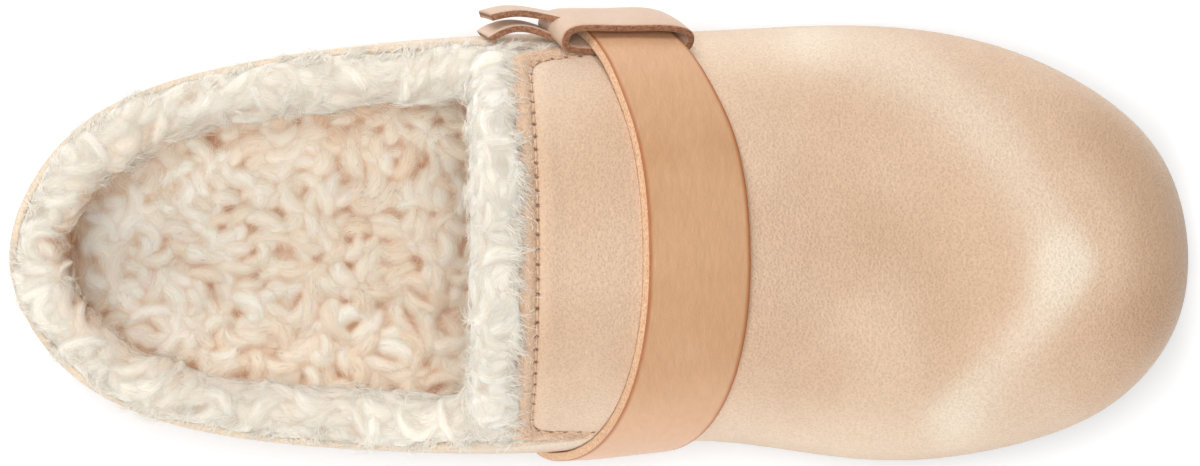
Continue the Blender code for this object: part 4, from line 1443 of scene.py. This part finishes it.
def onRoll(path, length, spots, arcStart, square):
    # a place on the roll or on the pile wall below it, the way out and the ways along and round
    edge, onward, inward, beyond, section = rollFrame(path, spots[:, 0] / length)
    middleIn, middleBeyond, halfIn, halfBeyond, wallIn, depth, wallHalf = section.T
    first, last = math.radians(arcStart), math.radians(rollSizes["arcEnd"])
    arcLength = (first - last) * rollSizes["girth"]
    angle = first + (last - first) * np.clip(spots[:, 1] / arcLength, 0, 1)
    below = np.clip((spots[:, 1] - arcLength) / rollSizes["wallDepth"], 0, 1)
    turnIn, turnBeyond = np.cos(angle), np.sin(angle)
    endIn, endBeyond = math.cos(last), math.sin(last)
    if square < 1:
        turnIn, turnBeyond = (np.sign(t) * np.abs(t) ** square for t in (turnIn, turnBeyond))
        endIn, endBeyond = (math.copysign(abs(t) ** square, t) for t in (endIn, endBeyond))
    lowIn = middleIn + halfIn * rollSizes["core"] * endIn
    lowBeyond = middleBeyond + halfBeyond * rollSizes["core"] * endBeyond
    downIn = lowIn + (wallIn + wallHalf - lowIn) * np.minimum(below * 3, 1)
    downBeyond = lowBeyond + (middleBeyond - depth - lowBeyond) * below
    a = np.where(below > 0, downIn, middleIn + halfIn * rollSizes["core"] * turnIn)
    b = np.where(below > 0, downBeyond, middleBeyond + halfBeyond * rollSizes["core"] * turnBeyond)
    straight = np.minimum(below * 2, 1)
    outIn = turnIn + (1 - turnIn) * straight
    outBeyond = turnBeyond * (1 - straight)
    out = unit(inward * outIn[:, None] + beyond * outBeyond[:, None])
    return edge + inward * a[:, None] + beyond * b[:, None], out, onward, np.cross(onward, out)


def swelling(u, v):  # the roll is thicker here and thinner there
    slow = np.sin(u / 7.3 + 1.9 * np.sin(v / 6.1))
    return slow + 0.7 * np.sin(u / 3.9 + 2.3 + 1.2 * np.sin(u / 11 + v / 5))


def wandering(u):  # its edge on the suede goes in and out
    return np.sin(u / 5.3 + 0.7) + 0.8 * np.sin(u / 3.1 + 2.0) + 0.5 * np.sin(u / 1.7)


def makeRoll(name, seed, path, nodes, looks):
    rng = np.random.default_rng(seed)
    length = rollLength(path)
    arcLength = math.radians(looks["arcStart"] - rollSizes["arcEnd"]) * rollSizes["girth"]
    girth = arcLength + rollSizes["wallDepth"]

    def shade(spots):  # painted shade on the inside at the heel
        atHeel = bell(spots[..., 0] / length - 0.5, looks["heelSpread"])
        inside = np.interp(spots[..., 1] / arcLength, looks["inside"], (0, 1))
        return -looks["heelShade"] * atHeel * inside

    # the gaps deepen on the wall under the roll: painted shade
    def gapTone(places):
        return np.interp(places[..., 1], (0.75 * arcLength, arcLength + 2), looks["gaps"]) + shade(places)

    patch = newPatch((0, 0), (length, girth), rollSizes["cell"], gapTone)
    margin = rollSizes["margin"]
    parts = {
        "wall": (arcLength - margin, girth),
        "roll": (0, arcLength + rollSizes["overlap"]),
        "locks": (margin, arcLength),
    }
    for part, (low, high) in parts.items():
        layCurls(patch, rng, (0, low), (length, high), looks[part], shade)
    spots = patch["places"].reshape(-1, 2)
    u, v = spots.T
    raised = settle(patch, looks["crease"]) + looks["swell"] * swelling(u, v)
    base, out, onward, around = onRoll(path, length, spots, looks["arcStart"], looks["square"])
    fade = np.clip(np.minimum(v / looks["edgeFade"], (girth - v) / 2), 0, 1)
    points = base + out * ((raised - looks["sink"]) * fade)[:, None]
    toEnd = np.clip(np.minimum(u, length - u) / rollSizes["endRound"], 0, 1)
    keep = np.sqrt(np.clip(1 - (1 - toEnd) ** 2, 0.02, 1))
    edge, _, inward, beyond, section = rollFrame(path, u / length)
    middle = edge + inward * section[:, :1] + beyond * section[:, 1:2]
    ragged = looks["ragged"] * wandering(u) * np.clip(1 - v / (0.5 * arcLength), 0, 1)
    points = middle + (points - inward * ragged[:, None] - middle) * keep[:, None]
    steps, across = (len(axis) - 1 for axis in patch["axes"])
    lines, tones = patch["lines"].reshape(-1, 3), patch["tone"].ravel()
    hidden = 3  # columns that close the roll against the suede

    def place(column, row):
        at = column % (across + 1 + hidden)
        seen = at <= across
        order = row * (across + 1) + np.where(seen, at, 0)
        edge, _, inward, beyond, section = rollFrame(path, row / steps)
        foot = section[:, 1] - section[:, 5]
        step = np.clip(at - across, 0, hidden) - 1  # foot inside, foot outside, half way up
        a = section[:, 4] + section[:, 6] * np.where(step == 0, 1, -1)
        b = foot + (step == 2) * 0.5 * (section[:, 1] - foot) - (step < 2) * rollSizes["footSink"]
        own = keep[order]
        a = section[:, 0] + (a - section[:, 0]) * own
        b = section[:, 1] + (b - section[:, 1]) * own
        closing = edge + inward * a[:, None] + beyond * b[:, None]
        return np.where(seen[:, None], points[order], closing), lines[order], tones[order]

    bm = bmesh.new()
    gridOver(bm, across + 1 + hidden, steps, place, pileLayers(bm))
    bmesh.ops.remove_doubles(bm, verts=bm.verts, dist=1e-6)
    closeEnds(bm)
    finishPiece(name, bm, [rollFleece], nodes, merge=1e-6)
    groups = []
    for key, count in looks["loose"].items():
        low, high = (looks["bands"][key][i] * arcLength for i in (0, 1))
        inside = np.where((spots[:, 1] > low) & (spots[:, 1] < high))[0]
        look = looks["fibres"][key]
        chosen = np.repeat(rng.choice(inside, count, replace=False), look["together"])
        angle = patch["angle"].ravel()[chosen]
        headings = onward[chosen] * np.cos(angle)[:, None] + around[chosen] * np.sin(angle)[:, None]
        headings = headings + around[chosen] * look["over"]
        roots = points[chosen] + (look["together"] > 1) * rng.normal(0, looks["tuft"], (len(chosen), 3))
        groups.append((roots, out[chosen], headings, tones[chosen] + look["toneRaise"], look))
    makeLoose(name + "Loose", seed + 1, groups, rollFibres)


rimCurls = {
    **curlSizes,
    "length": (8.0, 14.0),
    "width": (4.2, 6.5),
    "curl": (0.4, 2.2),
    "stray": 0.5,
    "raise": (1.0, 2.2),
    "soft": 0.7,
    "tone": 0.8,
    "toneStray": 0.07,
    "spacing": 4.2,
    "comb": 0.25,
}
rimLocks = {
    **rimCurls,
    "length": (11.0, 19.0),
    "width": (3.2, 5.2),
    "curl": (1.0, 3.4),
    "stray": 0.9,
    "raise": (1.7, 2.6),
    "tone": 0.88,
    "spacing": 7.4,
}
# the wall's curls are deeper in tone: painted shade under the roll
wallCurls = {**curlSizes, "width": (3.2, 5.4), "tone": 0.5, "raise": (0.8, 2.0), "spacing": 3.4}
throatCurls = {
    **rimCurls,
    "length": (7.0, 12.0),
    "width": (2.8, 4.4),
    "raise": (0.7, 1.6),
    # paler than the rim's curls, and its locks likewise: painted light where the throat roll lies in shade
    "tone": 0.86,
    "spacing": 3.2,
    "comb": 0.1,
}
edgeFibres = {
    **looseSizes,
    "length": (2.4, 5.0),
    "width": (0.12, 0.22),
    "curl": (0.2, 1.4),
    "stand": (-5, 25),
    "dip": (-5, 30),
    "stray": 0.3,
    # paler than the roll below them: painted light against their own shading
    "toneRaise": 0.2,
    "together": 12,
    "over": -1.2,
}
throatFibres = {
    **edgeFibres,
    "length": (3.0, 6.0),
    "stand": (0, 30),
    "dip": (-10, 15),
    "over": -1.6,
}
innerFibres = {
    **edgeFibres,
    "length": (3.0, 6.0),
    "curl": (0.8, 2.4),
    "stand": (0, 20),
    "dip": (5, 35),
    "over": 0.8,
}
longFibres = {**looseSizes, "length": (3.0, 6.0), "stand": (0, 20), "dip": (0, 40)}
rimLook = {
    "arcStart": 225,
    "square": 1.0,
    "heelShade": 0.65,
    "heelSpread": 0.2,
    "inside": (0.5, 0.75),  # share of the way round where the shade sets in
    "crease": 0.25,
    "sink": 0.3,
    "tuft": 0.5,
    "edgeFade": 7.5,  # over which the curls rise from the suede
    "ragged": 0.5,  # how far the edge on the suede wanders
    "swell": 0.45,
    "roll": rimCurls,
    "locks": rimLocks,
    "wall": wallCurls,
    # tone of the gaps on the roll and on the wall below it, the lower one painted shade
    "gaps": (0.72, 0.1),
    "loose": {"top": 5000, "edge": 190, "inner": 70},
    "bands": {"top": (0.15, 1.1), "edge": (0.22, 0.4), "inner": (0.6, 0.9)},
    "fibres": {"top": longFibres, "edge": edgeFibres, "inner": innerFibres},
}
throatLook = {
    **rimLook,
    "arcStart": 268,
    "square": 0.6,
    "heelShade": 0.0,
    "edgeFade": 2.0,
    "ragged": 1.1,
    "swell": 0.3,
    "roll": throatCurls,
    "locks": {**rimLocks, "length": (8.0, 14.0), "raise": (1.2, 2.0), "tone": 0.9},
    "gaps": (0.7, 0.25),
    "loose": {"top": 1900, "edge": 100, "inner": 24},
    "bands": {"top": (0.2, 0.9), "edge": (0.17, 0.28), "inner": (0.5, 0.75)},
    "fibres": {**rimLook["fibres"], "edge": throatFibres},
}
makeRoll("rimRoll", 23, backCollar(), ["fleece_back"], rimLook)
makeRoll("throatRoll", 31, throatCollar(), ["fleece_throat"], throatLook)


# Leather strap over the instep

strapSizes = {
    "along": 155.4,
    "width": 22.8,
    "thick": 2.0,
    "lean": math.tan(math.radians(24)),
    "endRise": 0.05,
    "cut": 0.7,
    "lift": 2.1,
    "pull": 5.0,
    "loopRise": 0.39,
    "liftSpread": 0.2,
    "pullSpread": 0.28,
    "pinch": 0.15,
    "round": 0.35,
    "crown": 0.25,
    "cutFade": 1.6,  # the cut edge ends within the rounding
    "faceColumns": 22,
    "edgeColumns": 5,
    "underColumns": 7,
    "rows": 90,  # each side
    "endRows": 15,
    "rowLength": 0.85,
}


def nearLoop(side, rise, spread, power):
    near = np.exp(-(((rise - strapSizes["loopRise"]) / strapSizes[spread]) ** power))
    return np.where(np.asarray(side) > 0, near, 0.0)


def strapPlace(side, rise, offset):
    top = skin([walkOf(1, strapSizes["along"])], np.array([1.0]))[0, 2]
    middle = np.full(len(offset), strapSizes["along"])
    pull = strapSizes["pull"] * nearLoop(side, rise, "pullSpread", 2)
    for _ in range(6):
        height = skin(walkOf(side, middle), rise)[:, 2]
        middle = strapSizes["along"] - pull + (height - top) * strapSizes["lean"]
    walk = walkOf(side, middle + offset)
    return skin(walk, rise), outward(walk, rise)


def strapSection():  # offset from the middle, height above the upper, 1 on the cut edges
    half = 0.5 * strapSizes["width"]
    thick = strapSizes["thick"]
    radius = strapSizes["round"]
    quarter = np.linspace(0, 0.5 * math.pi, 5)
    foot = half + strapSizes["cut"]
    fade = strapSizes["cutFade"]
    upward = np.linspace(0, 1, strapSizes["edgeColumns"] + 1)
    rows = [(-foot + (foot - half) * s, (thick - radius) * s, 1.0) for s in upward[:-1]]
    for a in quarter:
        rows.append((-half + radius * (1 - math.cos(a)), thick - radius * (1 - math.sin(a)), 1 - a / fade))
    face = np.linspace(-half + radius, half - radius, strapSizes["faceColumns"] + 1)[1:-1]
    rows += [(x, thick + strapSizes["crown"] * (1 - (x / half) ** 2), 0.0) for x in face]
    for a in quarter:
        rows.append((half - radius * (1 - math.sin(a)), thick - radius * (1 - math.cos(a)), a / fade))
    rows += [(half, (thick - radius) * s, 1.0) for s in upward[-2::-1]]
    rows += [(x, 0.0, 0.5) for x in np.linspace(half, -foot, strapSizes["underColumns"] + 1)[1:-1]]
    return np.array(rows)


def makeStrap(material):
    section = strapSection()
    rises = np.concatenate([
        np.linspace(strapSizes["endRise"], wideRise, strapSizes["endRows"] + 1)[:-1],
        np.linspace(wideRise, 1, strapSizes["rows"] - strapSizes["endRows"]),
    ])
    sides = np.concatenate([np.full(len(rises), -1), np.full(len(rises) - 1, 1)])
    rowRises = np.concatenate([rises, rises[-2::-1]])

    def place(column, row):
        offset, above, cut = section[column % len(section)].T
        side, rise = sides[row], rowRises[row]
        narrowed = 1 - strapSizes["pinch"] * nearLoop(side, rise, "pullSpread", 2)
        point, out = strapPlace(side, rise, offset * narrowed)
        above = above + lastSizes["fitGap"] + strapSizes["lift"] * nearLoop(side, rise, "liftSpread", 4)
        return point + out * above[:, None], np.stack([offset, row * strapSizes["rowLength"], cut], -1)

    bm = bmesh.new()
    layer = bm.verts.layers.float_vector.new("leatherPlace")
    gridOver(bm, len(section), len(sides) - 1, place, [layer])
    bmesh.ops.remove_doubles(bm, verts=bm.verts, dist=1e-6)
    closeEnds(bm)
    return finishPiece("instepStrap", bm, [material], ["strap"])


leatherGrain = {"Pebble Scale": 1500, "Fleck Scale": 2600, "Drift Scale": 34}


def makeLeather(name, look):
    values = {"Specular IOR Level": 0.4, "Coat Roughness": 0.45, "Coat Weight": look["coat"]}
    material, tree, shader = newMaterial(name, values)
    place = objectPlace(tree)
    grain = placeGroup(tree, grainGroup, {"Vector": place, **leatherGrain})
    across, along, cutEdge = attributeParts(tree, "leatherPlace")
    face = mixColour(tree, mapRange(tree, grain.outputs["Drift"], 0.36, 0.66), look["deep"], look["pale"])
    fromMiddle = apartFrom(tree, along, look["middle"])
    face = mixColour(tree, mapRange(tree, fromMiddle, 12.0, 48.0), face, look["ends"])
    fromEdge = mathNode(tree, "SUBTRACT", look["halfWidth"], mathNode(tree, "ABSOLUTE", across))
    burnt = mapRange(tree, fromEdge, look["burnReach"], 0.15, 0.0, look["burn"])
    face = mixColour(tree, burnt, face, look["burnt"])
    slanted = {"Vector": place, "Rotation": (0.0, 0.0, 0.5), "Scale": (1.0, 0.35, 0.5)}
    ripple = noise(tree, addNode(tree, "ShaderNodeMapping", slanted).outputs[0], 650, 2.0, 0.5)
    # painted shade in the wrinkles' troughs and painted light on their ridges, from the same noise as their
    # bump
    wrinkleShading = mapRange(tree, ripple, 0.3, 0.7, 1 - look["wrinkles"], 1 + look["wrinkles"])
    face = mixColour(tree, 1.0, face, wrinkleShading, "MULTIPLY")
    rawPlace = addNode(tree, "ShaderNodeMapping", {"Vector": place, "Scale": (1.0, 1.0, 2.5)}).outputs[0]
    raw = noise(tree, rawPlace, 1500, 3.0, 0.7)
    edge = ramp(tree, raw, (0.34, look["rawDeep"]), (0.62, look["rawPale"]))
    cut = mapRange(tree, cutEdge, 0.35, 0.8)
    tone = mixColour(tree, cut, face, edge)
    smooth = mapRange(tree, grain.outputs["Fleck"], 0.3, 0.7, look["rough"] - 0.06, look["rough"] + 0.08)
    rough = addNode(tree, "ShaderNodeMix", {0: cut, 2: smooth, 3: 0.9}, data_type="FLOAT").outputs[0]
    feed(tree, shader, {"Base Color": tone, "Roughness": rough})
    pores = mathNode(tree, "ADD", mathNode(tree, "MULTIPLY", grain.outputs["Height"], 0.25), ripple)
    height = addNode(tree, "ShaderNodeMix", {0: cut, 2: pores, 3: raw}, data_type="FLOAT").outputs[0]
    bumpTo(tree, shader, height, 0.4, 0.0005)
    return material


strapLeather = makeLeather("strapLeather", {
    "deep": srgb(196, 149, 108),
    "pale": srgb(204, 160, 121),
    "ends": srgb(210, 165, 128),
    "middle": 76.0,
    "burnt": srgb(168, 96, 48),
    "burn": 1.0,
    "burnReach": 1.3,
    "wrinkles": 0.025,
    "halfWidth": 0.5 * strapSizes["width"],
    "rawDeep": srgb(202, 152, 114),
    "rawPale": srgb(238, 203, 168),
    "rough": 0.46,
    "coat": 0.25,
})
makeStrap(strapLeather)


# Leather loop round the strap, with its two loose ends

loopSizes = {
    "thick": 1.7,
    "height": 13.0,
    "riseLength": 95.0,
    # along, out
    "path": (
        (-11.0, 1.2),
        (-1.0, 1.2),
        (7.4, 1.2),
        (11.4, 2.0),
        (12.0, 4.6),
        (7.4, 6.5),
        (-1.0, 6.5),
        (-9.5, 6.5),
        (-15.2, 5.4),
        (-15.8, 2.6),
    ),
    "standOff": (2.5, 5.5),
    "lean": 0.09,
    "steps": 150,
    "endHeight": 7.5,
    "endRootThick": 1.0,
    "endSteps": 44,
    # along, out, down
    "innerEnd": (
        (-9.5, 1.2, 2.0),
        (-15.0, 1.5, 2.6),
        (-19.5, 3.2, 3.6),
        (-24.3, 3.6, 4.6),
        (-29.3, 1.0, 5.4),
    ),
    "outerEnd": (
        (-7.0, 6.4, 2.0),
        (-13.5, 5.9, 2.8),
        (-18.5, 6.7, 4.0),
        (-23.8, 7.2, 5.0),
        (-28.8, 6.2, 5.8),
    ),
    "round": 0.3,
    "rootShare": 0.4,  # over which an end takes on its full thickness
    "rowLength": 0.5,
}


def besideStrap(along, out, down):
    rise = strapSizes["loopRise"] - down / loopSizes["riseLength"]
    point, away = strapPlace(1, rise, along)
    lean = -loopSizes["lean"] * down * np.interp(out, loopSizes["standOff"], (0, 1))
    return point + away * (out + lean)[:, None]


def bandSection(height):  # across the thickness from -1 to 1, down, 1 on the cut edges
    half = 0.5 * height
    radius = loopSizes["round"]
    inner = 1 - 2 * radius / loopSizes["thick"]
    quarter = np.linspace(0, 0.5 * math.pi, 4)
    corner = []
    for a in quarter:
        out = inner + (1 - inner) * math.sin(a)
        corner.append((out, half - radius * (1 - math.cos(a)), 1 - a / strapSizes["cutFade"]))
    face = [(1.0, x, 0.0) for x in np.linspace(half - radius, radius - half, 9)[1:-1]]
    lowCorner = [(x, -d, c) for x, d, c in reversed(corner)]
    edge = [(x, -half, 1.0) for x in np.linspace(inner, -inner, 5)[1:-1]]
    side = [*corner, *face, *lowCorner, *edge]
    return np.array(side + [(-x, -d, c) for x, d, c in side])


def makeBand(bm, layer, path, steps, closed, height, rootThick):
    section = bandSection(height)

    def place(column, row):
        across, down, cut = section[column % len(section)].T
        share = (row % steps) / steps if closed else 0.002 + 0.996 * row / steps
        here = path(share)
        onward = unit(path(share + 1e-4)[:, :2] - path(share - 1e-4)[:, :2])
        normal = np.stack([-onward[:, 1], onward[:, 0]], -1)
        thick = np.interp(share, (0, loopSizes["rootShare"]), (rootThick, loopSizes["thick"]))
        spot = here[:, :2] + normal * (0.5 * thick * across)[:, None]
        sunk = here[:, 2] if here.shape[1] > 2 else 0.0
        leatherPlace = np.stack([down, row * loopSizes["rowLength"], cut], -1)
        return besideStrap(spot[:, 0], spot[:, 1], sunk + down), leatherPlace

    made = gridOver(bm, len(section), steps, place, [layer])[0]
    bmesh.ops.remove_doubles(bm, verts=made, dist=1e-6)


def makeLoop(material):
    bm = bmesh.new()
    layer = bm.verts.layers.float_vector.new("leatherPlace")
    path = closedCurve(loopSizes["path"])
    makeBand(bm, layer, path, loopSizes["steps"], True, loopSizes["height"], loopSizes["thick"])
    endSizes = [loopSizes[key] for key in ("endHeight", "endRootThick")]
    for end in ("innerEnd", "outerEnd"):
        makeBand(bm, layer, openCurve(loopSizes[end]), loopSizes["endSteps"], False, *endSizes)
    closeEnds(bm)
    return finishPiece("strapLoop", bm, [material], ["strap_loop"], merge=1e-6)


loopLeather = makeLeather("loopLeather", {
    "deep": srgb(202, 172, 148),
    "pale": srgb(212, 186, 165),
    "ends": srgb(210, 184, 163),
    "middle": 37.0,
    "burnt": srgb(190, 130, 86),
    "burn": 0.4,
    "burnReach": 0.8,
    "wrinkles": 0.015,
    "halfWidth": 0.5 * loopSizes["height"],
    "rawDeep": srgb(118, 76, 54),
    "rawPale": srgb(176, 128, 98),
    "rough": 0.52,
    "coat": 0.08,
})
makeLoop(loopLeather)


# Floor, light and camera

stageSizes = {
    "floorHalf": 3.0,
    "floorGlow": 0.2,
    "cameraHigh": 1.7,
    "planeHigh": 0.03,  # the height at which the photograph's scale holds
    "frameWidth": 0.2742,
    "cameraShift": (-0.0001, 0.0003),
    "worldStrength": 0.12,
    # place, size, power
    "lights": {
        "top": ((-0.12, 0.1, 2.3), 1.4, 31.0),
        "outerSide": ((-0.2, 0.85, 0.6), 0.7, 6.4),
        "innerSide": ((-0.1, -0.85, 0.6), 0.7, 5.8),
        "heelSide": ((-1.0, 0.05, 0.22), 0.3, 1.7),
    },
}


def makeFloor():
    bm = bmesh.new()
    bmesh.ops.create_grid(bm, x_segments=4, y_segments=4, size=stageSizes["floorHalf"])
    mesh = bpy.data.meshes.new("floor")
    bm.to_mesh(mesh)
    bm.free()
    values = {"Roughness": 0.9, "Specular IOR Level": 0.1}
    values.update({"Emission Color": (1, 1, 1, 1), "Emission Strength": stageSizes["floorGlow"]})
    material, tree, shader = newMaterial("paleFloor", values)
    cloud = noise(tree, objectPlace(tree), 3.0)
    tone = ramp(tree, cloud, (0.3, (0.93, 0.93, 0.93)), (0.7, (0.95, 0.95, 0.95)))
    feed(tree, shader, {"Base Color": tone})
    mesh.materials.append(material)
    floor = bpy.data.objects.new("floor", mesh)
    bpy.context.scene.collection.objects.link(floor)


def makeLights():
    scene = bpy.context.scene
    world = bpy.data.worlds.new("studio")
    world.use_nodes = True
    background = world.node_tree.nodes["Background"]
    background.inputs["Color"].default_value = (1, 1, 1, 1)
    background.inputs["Strength"].default_value = stageSizes["worldStrength"]
    scene.world = world
    for name, (place, size, power) in stageSizes["lights"].items():
        lamp = bpy.data.lights.new(name, "AREA")
        lamp.shape = "DISK"
        lamp.size = size
        lamp.energy = power
        made = bpy.data.objects.new(name, lamp)
        made.location = place
        made.rotation_mode = "QUATERNION"
        made.rotation_quaternion = made.location.to_track_quat("Z", "Y")
        scene.collection.objects.link(made)


def makeCamera():
    lens = bpy.data.cameras.new("camera")
    lens.sensor_width = 36.0
    distance = stageSizes["cameraHigh"] - stageSizes["planeHigh"]
    lens.lens = lens.sensor_width * distance / stageSizes["frameWidth"]
    camera = bpy.data.objects.new("camera", lens)
    camera.location = (*stageSizes["cameraShift"], stageSizes["cameraHigh"])
    bpy.context.scene.collection.objects.link(camera)
    bpy.context.scene.camera = camera
    bpy.context.scene.view_settings.view_transform = "Standard"


makeFloor()
makeLights()
makeCamera()
